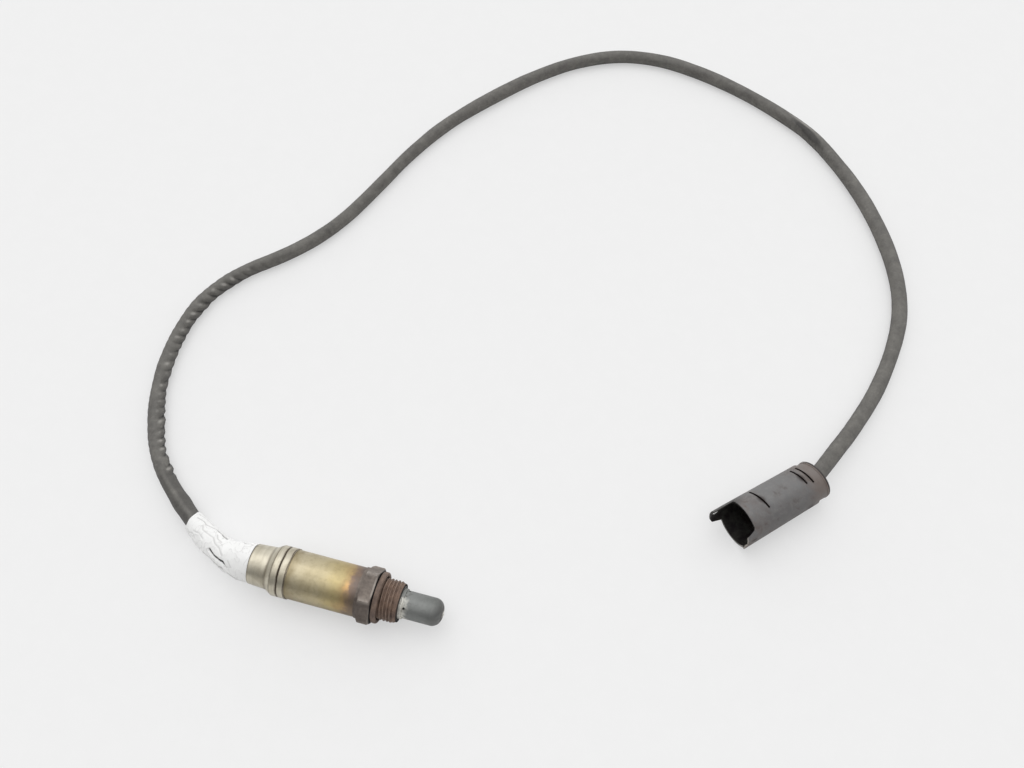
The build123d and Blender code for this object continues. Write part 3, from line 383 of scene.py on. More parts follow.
def housing_finish():
    """Grey moulded housing: painted shade inside and low down, painted highlights on the mouth's
    edges, grime towards the mouth and sides.
    """
    f = Finish("housing_plastic")
    station, side, height, reach = plug_axes(f)
    skin_reach = f.spread(station, -17.1 * MM, 22.5 * MM, 9.85 * MM, 10.5 * MM)
    depth = f.math("SUBTRACT", skin_reach, reach)
    cloud = f.grain(70, 6, 0.6, 0.4)
    mottle = f.grain(190, 7, 0.7, 0.5)
    fine = f.grain(1300, 3, 0.6)
    colour = f.ramp(cloud, (0.3, tint(96, 95, 95)), (0.7, tint(108, 107, 107)))
    # A paler field between the slits on one side.
    sway = f.math("ADD", f.math("ADD", station, f.times(side, 0.55)),
                  f.spread(cloud, 0.3, 0.7, -1.0 * MM, 1.0 * MM))
    field = f.times(f.spread(sway, -12.0 * MM, -10.5 * MM),
                    f.spread(sway, 6.6 * MM, 7.4 * MM, 1.0, 0.0),
                    f.spread(side, 1.6 * MM, 3.2 * MM, 1.0, 0.0), 0.7)
    colour = f.mix(field, colour, tint(110, 110, 110))
    colour = f.mix(f.spread(f.grain(420, 5, 0.7), 0.48, 0.7, 0.0, 0.35), colour,
                   tint(132, 129, 126))
    # Painted shade: darker towards the bottom of the housing.
    low = f.spread(height, 0.0, 7.5 * MM, 1.0, 0.0)
    colour = f.mix(f.times(low, 0.5), colour, tint(80, 76, 73))
    dirt = f.times(f.spread(mottle, 0.42, 0.68),
                   f.math("MAXIMUM", f.spread(station, 6 * MM, 20 * MM, 0.15, 0.8),
                          f.spread(station, -8 * MM, -16 * MM, 0.1, 0.8)))
    colour = f.mix(dirt, colour, tint(104, 90, 84))
    colour = f.mix(f.spread(mottle, 0.56, 0.7, 0.0, 0.55), colour, tint(70, 62, 58))
    # Painted shade round the slits and by the side catch, with one dark scratch.
    painted_shade = housing_shade_and_scratch(f, station, side, height, fine)
    colour = f.mix(f.times(painted_shade, f.spread(mottle, 0.3, 0.5, 0.75, 1.0)), colour, tint(44, 36, 34))
    # The rear neck is brown and dusty, and the left lug's shade side gets painted shade.
    colour = f.mix(f.spread(station, -12.5 * MM, -17.3 * MM, 0.0, 0.65), colour,
                   tint(118, 108, 102))
    lug_shade = f.times(f.spread(f.math("ADD", station, f.times(side, -0.8)), 19 * MM, 25 * MM),
                  f.spread(side, -4 * MM, -6.5 * MM), 0.85)
    colour = f.mix(lug_shade, colour, tint(58, 56, 55))
    # Painted shade: the mouth, the slits and every hollow are painted near black, browner further in
    # from the mouth.
    hollow = f.math("MAXIMUM", f.spread(reach, 9.05 * MM, 8.9 * MM),
                    f.spread(station, -17.3 * MM, -17.1 * MM))
    inner_shade = f.times(f.spread(depth, 0.12 * MM, 0.5 * MM), hollow)
    inner_shade_tone = f.ramp(f.grain(300, 5, 0.65), (0.4, tint(26, 22, 23)), (0.75, tint(58, 58, 54)))
    slot = f.spread(station, 14 * MM, 10 * MM)
    colour = f.mix(inner_shade, colour, f.mix(slot, inner_shade_tone, tint(34, 27, 25)))
    # Painted highlights on the rim's end face and on the right hand edge of the mouth.
    rim = f.times(f.spread(station, 22.2 * MM, 22.35 * MM),
                  f.spread(depth, 0.25 * MM, 0.45 * MM),
                  f.spread(depth, 0.85 * MM, 1.0 * MM, 1.0, 0.0),
                  f.spread(side, -8.6 * MM, -8.0 * MM))
    colour = f.mix(rim, colour, tint(112, 114, 106))
    edge = f.times(f.spread(side, 6.6 * MM, 7.2 * MM), f.spread(depth, 0.1 * MM, 0.2 * MM),
                   f.spread(depth, 0.75 * MM, 0.95 * MM, 1.0, 0.0),
                   f.spread(station, 17 * MM, 17.6 * MM), 0.8)
    colour = f.mix(edge, colour, tint(158, 150, 144))
    # Painted highlight: a pale patch in the left lug's window, glowing faintly.
    window_glint = f.times(f.spread(station, 24.0 * MM, 24.2 * MM),
                     f.spread(station, 27.0 * MM, 27.2 * MM, 1.0, 0.0),
                     f.spread(height, -1.1 * MM, -0.9 * MM),
                     f.spread(height, -0.5 * MM, -0.3 * MM, 1.0, 0.0),
                     f.spread(side, -8.4 * MM, -8.8 * MM),
                     f.spread(depth, 1.0 * MM, 1.1 * MM, 1.0, 0.0))
    colour = f.mix(window_glint, colour, tint(252, 252, 250))
    f.set("Emission Color", tint(240, 240, 238))
    f.set("Emission Strength", f.times(window_glint, 0.45))
    f.set("Base Color", colour)
    f.set("Roughness", f.spread(cloud, 0.3, 0.7, 0.45, 0.62))
    f.set("Specular IOR Level", f.spread(inner_shade, 0, 1, 0.5, 0.15))
    f.set("Normal", f.bump(fine, 0.2, 0.15 * MM))
    return f.material


def retainer_finish():
    """Dark plastic ring, brown with dust on its front half."""
    f = Finish("retainer_plastic")
    forward = Matrix.Rotation(PLUG_TURN + RETAINER_LEAN, 3, "Z") @ Vector((1, 0, 0))
    rear_end = PLUG_PLACE + Matrix.Rotation(PLUG_TURN, 3, "Z") @ Vector((RETAINER_REAR, 0, 0))
    node = f.nodes.new("ShaderNodeVectorMath")
    node.operation = "DOT_PRODUCT"
    node.inputs[1].default_value = forward
    f.links.new(f.place, node.inputs[0])
    ahead_of_rear = f.math("SUBTRACT", node.outputs["Value"], rear_end.dot(forward))
    cloud = f.grain(160, 6, 0.7, 0.4)
    dark = f.ramp(cloud, (0.3, tint(34, 29, 28)), (0.7, tint(52, 44, 41)))
    dust = f.ramp(cloud, (0.3, tint(104, 92, 86)), (0.7, tint(130, 118, 110)))
    f.set("Base Color", f.mix(f.spread(ahead_of_rear, -0.5 * MM, -0.25 * MM), dark, dust))
    f.set("Roughness", f.spread(cloud, 0.3, 0.7, 0.32, 0.5))
    f.set("Normal", f.bump(f.grain(1400, 3, 0.6), 0.15, 0.15 * MM))
    return f.material


def plastic_finish(name, light, dark, dust, roughness=0.55, bump=0.2):
    """Moulded plastic, finely textured and scuffed, with dust in it."""
    f = Finish(name)
    cloud = f.grain(60, 6, 0.6, 0.4)
    fine = f.grain(1400, 3, 0.6)
    colour = f.ramp(cloud, (0.3, dark), (0.7, light))
    colour = f.mix(f.spread(f.grain(140, 8, 0.75, 0.8), 0.5, 0.8, 0.0, 0.5), colour, dust)
    f.set("Base Color", colour)
    f.set("Roughness", f.spread(cloud, 0.3, 0.7, roughness - 0.08, roughness + 0.1))
    f.set("Normal", f.bump(fine, bump, 0.15 * MM))
    return f.material


def ceramic_finish(name, light, dark):
    """Pressed ceramic or powder, faintly mottled."""
    f = Finish(name, Roughness=0.6)
    mottle = f.grain(500, 5, 0.6)
    f.set("Base Color", f.ramp(mottle, (0.3, dark), (0.7, light)))
    f.set("Normal", f.bump(f.grain(2200, 3, 0.6), 0.2, 0.1 * MM))
    return f.material


def bright_metal_finish(name, light, dark, roughness=0.3):
    """Clean pressed or drawn metal that is kept inside."""
    f = Finish(name, Metallic=1.0)
    streak = f.grain(600, 3, 0.6, 0, f.mapped((0.2, 1, 1)))
    f.set("Base Color", f.ramp(streak, (0.3, dark), (0.7, light)))
    f.set("Roughness", f.spread(streak, 0.3, 0.7, roughness - 0.06, roughness + 0.08))
    f.set("Normal", f.bump(streak, 0.08, 0.1 * MM))
    return f.material


def sleeve_finish():
    """Matt rubber sleeve with dust flecks, painted highlights on its bulges, and painted shade in
    its creases and at its sides.
    """
    f = Finish("dusty_sleeve", Specular_IOR_Level=0.4)
    light_and_shade = f.attribute("light_and_shade")
    cloud = f.grain(110, 7, 0.7, 0.5)
    fine = f.grain(1100, 4, 0.65)
    colour = f.ramp(cloud, (0.3, tint(84, 82, 79)), (0.7, tint(114, 112, 107)))
    colour = f.mix(f.spread(fine, 0.5, 0.8, 0.0, 0.3), colour, tint(130, 126, 120))
    fleck = f.grain(340, 5, 0.7)
    colour = f.mix(f.spread(fleck, 0.52, 0.72, 0.0, 0.4), colour, tint(66, 63, 61))
    colour = f.mix(f.spread(fleck, 0.46, 0.3, 0.0, 0.35), colour, tint(132, 129, 124))
    # Painted highlight on the bulges, then painted shade in the creases and along the inner edge.
    colour = f.mix(f.spread(light_and_shade, 0.56, 1.0, 0.0, 0.5), colour, tint(168, 165, 160))
    colour = f.mix(f.spread(light_and_shade, 0.46, 0.0, 0.0, 0.8), colour, tint(46, 44, 43))
    # Painted shade towards the sleeve's sides, where its surface turns away from view.
    side_shade = f.nodes.new("ShaderNodeLayerWeight")
    side_shade.inputs["Blend"].default_value = 0.5
    colour = f.mix(f.spread(side_shade.outputs["Facing"], 0.45, 0.85, 0.0, 0.7), colour,
                   tint(48, 46, 46))
    f.set("Base Color", colour)
    f.set("Roughness", f.spread(cloud, 0.3, 0.7, 0.45, 0.62))
    f.set("Normal", f.bump(fine, 0.25, 0.2 * MM, f.bump(f.grain(170, 4, 0.6), 0.35, 0.8 * MM)))
    return f.material


def tape_finish():
    """Crumpled white tape with painted grey shade in its folds, dark in its one open slit, and a
    faint painted glow.
    """
    f = Finish("crumpled_tape", Roughness=0.45)
    crease_shade = f.attribute("crease_shade")
    slit = f.attribute("slit")
    colour = f.ramp(f.grain(220, 5, 0.6), (0.3, tint(220, 220, 219)), (0.7, tint(225, 225, 224)))
    # Painted shade: the folds are grey.
    colour = f.mix(f.spread(crease_shade, 0.05, 0.9, 0.0, 0.9), colour, tint(112, 109, 107))
    colour = f.mix(f.spread(slit, 0.35, 0.65), colour, tint(30, 28, 30))
    f.set("Base Color", colour)
    # Painted glow: the tape gives off a faint light in its own colour.
    f.set("Emission Color", colour)
    f.set("Emission Strength", 0.14)
    f.set("Normal", f.bump(f.grain(700, 4, 0.6), 0.12, 0.2 * MM))
    return f.material


STEEL_LIGHT = tint(206, 202, 194)
STEEL_DARK = tint(150, 146, 138)
finishes = {
    "outer_shell": shell_finish(),
    "rear_cap": cap_finish(),
    "outer_protection_tube": tube_finish(),
    "sealing_ring": rust_finish("rusted_ring", tint(74, 60, 52), tint(112, 94, 83),
                                tint(136, 116, 102), ring_joint_shadow, 1.6),
    "rubber_grommet": plastic_finish("grommet_rubber", tint(52, 46, 42), tint(34, 30, 28),
                                     tint(84, 70, 56), 0.6),
    "plug_housing": housing_finish(),
    "plug_retainer": retainer_finish(),
    "pin_carrier": plastic_finish("carrier_plastic", tint(30, 29, 29), tint(20, 19, 19),
                                  tint(44, 42, 40), 0.5),
    "wire_guide": plastic_finish("guide_plastic", tint(236, 232, 222), tint(214, 208, 196),
                                 tint(190, 182, 168), 0.4),
}
inner_steel = bright_metal_finish("inner_steel", STEEL_LIGHT, STEEL_DARK)
contact_metal = bright_metal_finish("contact_nickel", tint(214, 206, 190), tint(172, 164, 148), 0.25)
brass = bright_metal_finish("tinned_brass", tint(212, 204, 180), tint(178, 166, 134), 0.24)
seal_rubber = plastic_finish("seal_rubber", tint(50, 50, 52), tint(36, 36, 38), tint(64, 60, 58))
white_ceramic = ceramic_finish("white_ceramic", tint(240, 238, 232), tint(222, 218, 208))
black_wire = plastic_finish("black_wire", tint(44, 43, 43), tint(30, 30, 30), tint(62, 60, 58), 0.4)
grey_wire = plastic_finish("grey_wire", tint(142, 142, 142), tint(116, 116, 116),
                           tint(96, 92, 88), 0.4)
white_wire = plastic_finish("white_wire", tint(226, 224, 218), tint(204, 200, 192),
                            tint(176, 168, 156), 0.4)
shared = {
    "inner_protection_tube": inner_steel, "seat_washer": inner_steel, "clamp_ring": inner_steel,
    "disc_spring": inner_steel, "inner_contact": contact_metal, "outer_contact": contact_metal,
    "zirconia_element": ceramic_finish("element_ceramic", tint(236, 224, 196), tint(214, 198, 164)),
    "heater_rod": white_ceramic, "ceramic_support": white_ceramic,
    "talc_packing": ceramic_finish("talc_powder", tint(206, 206, 200), tint(178, 178, 170)),
    "signal_terminal": contact_metal, "heater_terminal_a": contact_metal,
    "ground_terminal": contact_metal, "heater_terminal_b": contact_metal,
    "signal_lead": black_wire, "ground_lead": grey_wire, "heater_lead_a": white_wire,
    "heater_lead_b": white_wire, "wire_seal": seal_rubber, "mouth_seal": seal_rubber,
    "signal_pin": brass, "heater_pin_a": brass, "ground_pin": brass, "heater_pin_b": brass,
}
finishes.update(shared)
for node_name, finish in finishes.items():
    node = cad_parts[node_name]
    for slot in node.material_slots:
        slot.material = finish


# ---------------------------------------------------------------- making pieces
def mesh_object(name, shape):
    """An object at the origin from a bmesh, with its place in its mesh."""
    mesh = bpy.data.meshes.new(name)
    shape.to_mesh(mesh)
    shape.free()
    made = bpy.data.objects.new(name, mesh)
    bpy.context.collection.objects.link(made)
    return made


def finished(piece, finish):
    """Gives a smooth piece its finish, body and slot."""
    piece.data.materials.append(finish)
    for face in piece.data.polygons:
        face.use_smooth = True
    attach(piece, "root")
    return piece


def skin(shape, rings):
    """Faces between each ring of corners and the next."""
    for ring, following in zip(rings, rings[1:]):
        for number in range(len(ring)):
            beside = (number + 1) % len(ring)
            shape.faces.new((ring[number], ring[beside], following[beside], following[number]))


def eased(stations, value):
    """A value read smoothly from (place, value) stations."""
    for (start, low), (end, high) in zip(stations, stations[1:]):
        if value <= end:
            share = max(0.0, (value - start) / (end - start))
            share = share * share * (3 - 2 * share)
            return low + (high - low) * share
    return stations[-1][1]


# ---------------------------------------------------------------- the sleeve
sleeve_route = [
    (-74.0, 10.5, 6.7), (-93.8, 24.5, 4.4), (-109.0, 41.5, 4.0), (-120.6, 65.0, 3.9),
    (-126.3, 92.5, 3.8), (-124.0, 120.5, 3.75), (-112.2, 142.8, 3.7), (-87.5, 165.0, 3.7),
    (-72.2, 187.0, 3.65), (-60.4, 215.5, 3.65), (-49.7, 246.0, 3.65), (-35.7, 272.4, 3.7),
    (-16.4, 298.0, 3.8), (2.2, 319.0, 3.8), (22.0, 336.0, 3.8), (45.4, 347.5, 3.8),
    (69.5, 350.5, 3.75), (97.0, 345.5, 3.8), (128.0, 334.0, 3.8), (156.3, 318.8, 3.8),
    (170.0, 307.0, 3.9), (187.5, 286.3, 4.0), (202.6, 262.7, 4.0), (213.9, 237.0, 4.0),
    (219.6, 210.4, 4.0), (217.5, 183.4, 4.0), (210.7, 156.3, 4.0), (201.3, 133.4, 6.2),
    (193.4, 116.7, 9.1), (186.0, 101.0, 10.4),
]
# Half widths in mm on the loop's outer and inner side at distances in mm from the taped end.
outer_girth = [
    (0, 3.85), (9, 3.9), (15, 4.15), (21, 3.9), (36, 4.0), (50, 4.0), (60, 3.8), (80, 3.45),
    (90, 3.4), (100, 2.95), (112, 2.95), (130, 3.45), (140, 3.25), (155, 3.5), (180, 3.05),
    (220, 2.85), (260, 3.15), (300, 3.2), (340, 3.45), (380, 3.1), (420, 3.15), (460, 3.75),
    (500, 3.35), (540, 3.4), (580, 3.6), (620, 3.7), (660, 4.0), (700, 3.7), (740, 3.9), (779, 3.8),
]
inner_girth = [
    (0, 3.85), (9, 3.9), (15, 4.15), (21, 3.75), (30, 3.7), (36, 3.9), (40, 3.4), (46, 3.1),
    (52, 3.6), (62, 4.2), (70, 4.0), (80, 3.65), (90, 4.0), (110, 4.0), (120, 3.7), (130, 3.9),
    (137, 3.3), (142, 3.3), (150, 3.6), (160, 3.1), (172, 3.3), (185, 3.5), (220, 3.6), (260, 3.3),
    (300, 3.55), (340, 4.05), (380, 3.7), (420, 3.7), (460, 3.85), (500, 3.4), (536, 3.7),
    (545, 4.2), (552, 3.85), (580, 3.95), (620, 4.1), (660, 3.55), (700, 3.5), (779, 3.6),
]
SLEEVE_SIDES = 40
SLEEVE_HEIGHT = 3.6         # half height in mm
WRINKLE_PITCH = 5.3         # along the sleeve, in mm
TAUT_END = 36               # how far it is stretched smooth from the tape, in mm
KINK_PLACE = 537            # the one sharp kink, in mm from the taped end
sleeve_crumple = [          # how deep the wrinkles are at distances in mm
    (0, 0), (27, 0), (34, 1), (60, 0.9), (78, 0.7), (94, 0.6), (112, 0.9), (150, 0.9),
    (166, 0.3), (182, 0.06), (524, 0.06), (532, 0.3), (556, 0.3), (566, 0.06), (779, 0.06),
]


def spline_points(route):
    """Points along the smooth line that the route's points steer."""
    curve = bpy.data.curves.new("sleeve_line", "CURVE")
    curve.dimensions = "3D"
    curve.resolution_u = 48
    spline = curve.splines.new("NURBS")
    spline.points.add(len(route) - 1)
    for point, place in zip(spline.points, route):
        point.co = (place[0] * MM, place[1] * MM, place[2] * MM, 1.0)
    spline.order_u = 3
    spline.use_endpoint_u = True
    holder = bpy.data.objects.new("sleeve_line", curve)
    bpy.context.collection.objects.link(holder)
    mesh = bpy.data.meshes.new_from_object(holder)
    points = [vertex.co.copy() for vertex in mesh.vertices]
    bpy.data.objects.remove(holder)
    bpy.data.curves.remove(curve)
    bpy.data.meshes.remove(mesh)
    return points


def scallop(turns):
    """Round bulges with creases between them, from 0 in a crease to 1 on top."""
    return abs(math.sin(math.pi * turns)) ** 0.9


def sleeve_swell(far, across, height, crumple, top, wrinkle):
    """How far in mm the surface stands out at a place: bulges, wrinkles and a slow wobble."""
    where = Vector((far * 0.05, across * 0.8, height * 0.8))
    wobble = noise.noise(where) * 0.2 + noise.noise(where * 3.1) * 0.07
    reach = max(0.0, across * 0.95 + height * 0.3) ** 1.9
    uneven = 0.85 + 0.7 * noise.noise(Vector((round(wrinkle) * 3.7, 2.2, 5)))
    swell = wobble + crumple * uneven * reach * (1.5 * top - 1.1)
    folded = max(0.0, -across * 0.6 + height * 0.5)
    return swell + crumple * folded * 0.25 * (scallop(wrinkle * 1.27 + 0.4) - 0.6)


def sleeve_shade(far, across, height, crumple, top, wrinkle):
    """How much painted light the surface gets at a place: 0.5 is plain, more is a painted highlight,
    less is painted shade.
    """
    flank = wrinkle % 1.0
    # Painted highlight on the upper flank of each bulge; painted shade in the creases and along the
    # inner edge.
    pale = max(0.0, 1 - abs(across - 0.6) / 0.5) * max(0.0, 1 - abs(flank - 0.72) / 0.3)
    dark = max(0.0, across - 0.3) * max(0.0, 1 - top * 2.0) * 1.1
    dark += 0.35 * max(0.0, across - 0.75) / 0.25
    patchy = max(0.1, 0.45 + 1.2 * noise.noise(Vector((far * 0.17, 8, across * 2))))
    creased = crumple * (patchy * pale - 0.8 * dark)
    # Painted highlight along the top of the kink, and painted shade below it.
    kink = max(0.0, 1 - abs(far - KINK_PLACE - 9 * across) / 14) * (height > 0)
    kinked = 0.9 * kink * max(0.0, 1 - abs(across + 0.3) / 0.35)
    kinked -= 1.6 * kink * max(0.0, 1 - abs(across - 0.45) / 0.55)
    # Near the tape, a painted light strip along the top and painted shade elsewhere.
    taut = max(0.0, min(1.0, (TAUT_END - far) / 6))
    strip = max(0.0, 1 - abs(across - 0.1 + 0.01 * far) / 0.35) * (height > 0)
    return 0.5 + creased + kinked + taut * (0.36 * strip - 0.28)


def sleeve_piece():
    """The sleeve as a closed tube of uneven rings round its line, and that line's points."""
    points = spline_points(sleeve_route)
    travelled = [0.0]
    for before, after in zip(points, points[1:]):
        travelled.append(travelled[-1] + (after - before).length)
    shape = bmesh.new()
    light_and_shade_layer = shape.verts.layers.float.new("light_and_shade")
    rings = []
    for number, point in enumerate(points):
        ahead_of = points[min(number + 1, len(points) - 1)]
        behind = points[max(number - 1, 0)]
        along = (ahead_of - behind).normalized()
        inward = along.cross(Vector((0, 0, 1))).normalized()
        upward = inward.cross(along)
        far = travelled[number] / MM
        outer, inner = eased(outer_girth, far), eased(inner_girth, far)
        crumple = eased(sleeve_crumple, far)
        drift = 0.45 * noise.noise(Vector((far * 0.07, 4.2, 0)))
        ring = []
        for side in range(SLEEVE_SIDES):
            angle = 2 * math.pi * side / SLEEVE_SIDES
            across, height = math.cos(angle), math.sin(angle)
            half_width = outer + (inner - outer) * (0.5 + 0.5 * across)
            wrinkle = far / WRINKLE_PITCH + 0.55 * height + drift
            spot = (far, across, height, crumple, scallop(wrinkle), wrinkle)
            swell = sleeve_swell(*spot)
            offset = inward * across * (half_width + swell)
            offset += upward * height * (SLEEVE_HEIGHT + swell * (1 if height > 0 else 0.2))
            vertex = shape.verts.new(point + offset * MM)
            vertex[light_and_shade_layer] = sleeve_shade(*spot)
            ring.append(vertex)
        rings.append(ring)
    skin(shape, rings)
    shape.faces.new(rings[0][::-1])
    shape.faces.new(rings[-1])
    bmesh.ops.recalc_face_normals(shape, faces=shape.faces)
    return finished(mesh_object("sleeve", shape), sleeve_finish()), points


sleeve, sleeve_line = sleeve_piece()
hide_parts("cable_sleeve")


# ---------------------------------------------------------------- the tape wrap
wrap_path = [               # centre and radius in mm from the cap to the sleeve
    ((-41.9, 0.0, 11.0), 8.5), ((-44.6, -0.1, 11.0), 8.5), ((-47.6, -0.1, 11.0), 8.2),
    ((-53.6, 0.5, 10.6), 6.9), ((-59.6, 2.75, 9.6), 5.8), ((-64.2, 4.8, 8.7), 5.6),
    ((-68.6, 7.0, 7.9), 5.5), ((-73.2, 9.9, 7.1), 5.1), ((-77.5, 12.6, 6.5), 4.85),
    ((-79.2, 13.8, 6.3), 4.75),
]
WRAP_ROWS, WRAP_SIDES = 190, 120
WRAP_STEP = 4.4             # from one place on the path to the next, in mm
TORN_END = 7.8              # place on the path where the tape is torn off
TAPE_THICKNESS = 0.25 * MM
slit_line = [(4.15, 54), (3.6, 45), (3.2, 46), (2.8, 47), (2.5, 38), (2.3, 26)]
crease_lines = [            # strength, half width in mm, and points: place on the path, degrees
    (0.9, 0.3, [(4.7, 13), (3.6, 17), (2.75, 22)]),
    (0.7, 0.3, [(2.3, 14), (1.6, 8), (0.8, 2), (0.1, -4)]),
    (1.0, 0.4, [(5.1, 150), (4.4, 152), (4.0, 144), (3.6, 138)]),
    (0.5, 0.3, [(7.3, 118), (6.6, 130), (6.2, 126), (5.6, 142), (5.1, 150)]),
    (0.42, 0.3, [(6.3, 112), (5.9, 98), (5.3, 100), (4.5, 104), (3.9, 88), (3.4, 84), (2.95, 68)]),
    (0.45, 0.25, [(4.5, 128), (4.1, 112), (3.6, 108)]),
    (0.4, 0.3, [(7.6, 140), (6.9, 158), (6.0, 160)]),
    (0.3, 0.3, [(6.9, 32), (6.5, 48), (6.0, 40)]),
    (0.35, 0.25, [(6.6, 60), (5.9, 76), (5.2, 70)]),
    (0.5, 0.3, [(2.9, 150), (2.3, 146), (1.8, 134), (1.2, 138)]),
    (0.35, 0.25, [(2.4, 60), (2.1, 44), (2.6, 34)]),
]


def line_distance(line, spot, degrees, radius):
    """Distance in mm over the wrap's surface to a line of (place, degrees) points."""
    def flat(place, turn):
        return Vector((place * WRAP_STEP, math.radians(turn) * radius))

    here = flat(spot, degrees)
    distances = []
    for start, end in zip(line, line[1:]):
        first = flat(*start)
        run = flat(*end) - first
        share = max(0.0, min(1.0, (here - first).dot(run) / run.length_squared))
        distances.append((here - first - run * share).length)
    return min(distances)


def wrap_frame(spot, degrees):
    """Centre, outward direction and radius of the wrap at a place on its path."""
    centres = [Vector(place) for place, radius in wrap_path]
    last = len(centres) - 1
    step = min(int(spot), last - 1)
    share = spot - step
    middle = centres[step].lerp(centres[step + 1], share)
    radius = wrap_path[step][1] * (1 - share) + wrap_path[step + 1][1] * share
    before = centres[max(step - 1, 0)].lerp(centres[step], share)
    after = centres[step + 1].lerp(centres[min(step + 2, last)], share)
    along = (after - before).normalized()
    sideways = Vector((0, 0, 1)).cross(along).normalized()
    upward = along.cross(sideways)
    angle = math.radians(degrees)
    return middle, sideways * math.cos(angle) + upward * math.sin(angle), radius


def wrap_relief(spot, degrees, radius, where):
    """Lift in mm, the painted shade of the folds, and how deep the slit is, at a place on the wrap.
    """
    small = max(0.0, 1 - abs(noise.noise(where * 2.3 + Vector((7, 3, 1)))) * 2.6)
    lift = noise.noise(where * 0.9) * 0.35 + small ** 6 * 0.18
    crease_shade = small ** 12 * 0.35
    for strength, half_width, line in crease_lines:
        off = line_distance(line, spot, degrees, radius)
        groove = max(0.0, 1 - off / (half_width * 2.2))
        crease_shade = max(crease_shade, strength * groove ** 1.3)
        lift += strength * (0.28 * max(0.0, 1 - abs(off - 0.8) / 0.7) - 0.35 * groove)
    off = line_distance(slit_line, spot, degrees, radius)
    thin = min(1.0, (spot - 2.2) * 1.8, (4.25 - spot) * 6)
    slit = max(0.0, 1 - off / (0.95 * max(thin, 0.05)))
    return lift - 0.9 * min(1.0, slit * 2), min(1.0, crease_shade), slit


def wrap_piece():
    """The tape as crumpled rings along its path, torn off raggedly over the sleeve."""
    shape = bmesh.new()
    crease_shade_layer = shape.verts.layers.float.new("crease_shade")
    slit_layer = shape.verts.layers.float.new("slit")
    rings = []
    for row in range(WRAP_ROWS + 1):
        edge = min(1.0, min(row, WRAP_ROWS - row) / 8)
        ring = []
        for side in range(WRAP_SIDES):
            degrees = 360 * side / WRAP_SIDES
            angle = math.radians(degrees)
            ragged = noise.noise(Vector((math.cos(angle) * 1.7, math.sin(angle) * 1.7, 3)))
            torn = TORN_END - 0.3 * math.cos(angle - 0.35) + 0.08 * ragged
            spot = row / WRAP_ROWS * torn
            middle, out, radius = wrap_frame(spot, degrees)
            where = (middle + out * radius) * 0.14
            lift, crease_shade, slit = wrap_relief(spot, degrees, radius, where)
            vertex = shape.verts.new((middle + out * (radius + lift * edge)) * MM)
            vertex[crease_shade_layer] = crease_shade
            vertex[slit_layer] = slit
            ring.append(vertex)
        rings.append(ring)
    skin(shape, rings)
    bmesh.ops.recalc_face_normals(shape, faces=shape.faces)
    return finished(mesh_object("tape_cover", shape), tape_finish())


tape_cover = wrap_piece()
bpy.ops.object.select_all(action="DESELECT")
bpy.context.view_layer.objects.active = tape_cover
tape_cover.select_set(True)
bpy.ops.object.modifier_add(type="SOLIDIFY")
tape_cover.modifiers[-1].thickness = TAPE_THICKNESS
tape_cover.modifiers[-1].offset = -1
bpy.ops.object.modifier_apply(modifier=tape_cover.modifiers[-1].name)
bpy.ops.object.select_all(action="DESELECT")
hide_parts("tape_wrap")

# ---------------------------------------------------------------- hexagon body with its thread
HEX_CORNER = 12.7017 * MM
HEX_PRISM_MIDDLE = 12 * MM
HEX_PRISM_LENGTH = 60 * MM
TURNED_STEPS = 96
hex_profile = [             # station and radius in mm, outside from the rear, then the bores
    (-0.8, 9.5), (-0.25, 10.05), (7.1, 10.05), (7.1, 10.97), (8.4, 10.97), (8.4, 11.6),
    (9.2, 12.7), (13.5, 12.7), (14.3, 11.6), (14.3, 8.1), (25.1, 8.1), (25.1, 6.0),
    (22.1, 6.0), (22.1, 4.3), (11.5, 4.3), (11.5, 7.2), (0.3, 7.2), (0.3, 5.6), (-0.8, 5.6),
]


def turned_solid(name, profile):
    """A closed solid spun round the probe's axis."""
    shape = bmesh.new()
    centre = Vector((0, 0, PROBE_HEIGHT))
    verts = [shape.verts.new((x * MM, 0, PROBE_HEIGHT + r * MM)) for x, r in profile]
    edges = [shape.edges.new((a, b)) for a, b in zip(verts, verts[1:] + verts[:1])]
    bmesh.ops.spin(shape, geom=verts + edges, cent=centre, axis=(1, 0, 0),
                   angle=2 * math.pi, steps=TURNED_STEPS, use_merge=True, use_duplicate=False)
    bmesh.ops.remove_doubles(shape, verts=shape.verts, dist=0.001 * MM)
    bmesh.ops.recalc_face_normals(shape, faces=shape.faces)
    return mesh_object(name, shape)


def hexagon_body():
    """The turned body cut by a six-sided prism that rests on a flat, with its edges worn."""
    body = turned_solid("hexagon_body", hex_profile)
    bpy.ops.mesh.primitive_cylinder_add(
        vertices=6, radius=HEX_CORNER, depth=HEX_PRISM_LENGTH,
        location=(HEX_PRISM_MIDDLE, 0, PROBE_HEIGHT), rotation=(0, math.pi / 2, 0))
    prism = bpy.context.object
    bpy.ops.object.transform_apply(location=True, rotation=True, scale=True)
    bpy.ops.object.select_all(action="DESELECT")
    bpy.context.view_layer.objects.active = body
    body.select_set(True)
    cut = body.modifiers.new("hexagon", "BOOLEAN")
    cut.operation = "INTERSECT"
    cut.object = prism
    bpy.ops.object.modifier_apply(modifier=cut.name)
    bpy.data.objects.remove(prism)
    worn = body.modifiers.new("worn_edges", "BEVEL")
    worn.width = 0.28 * MM
    worn.segments = 3
    worn.limit_method = "ANGLE"
    worn.angle_limit = math.radians(25)
    bpy.ops.object.modifier_apply(modifier=worn.name)
    bpy.ops.object.shade_smooth_by_angle(angle=math.radians(30))
    evened = body.modifiers.new("even_faces", "WEIGHTED_NORMAL")
    evened.keep_sharp = True
    bpy.ops.object.modifier_apply(modifier=evened.name)
    return body


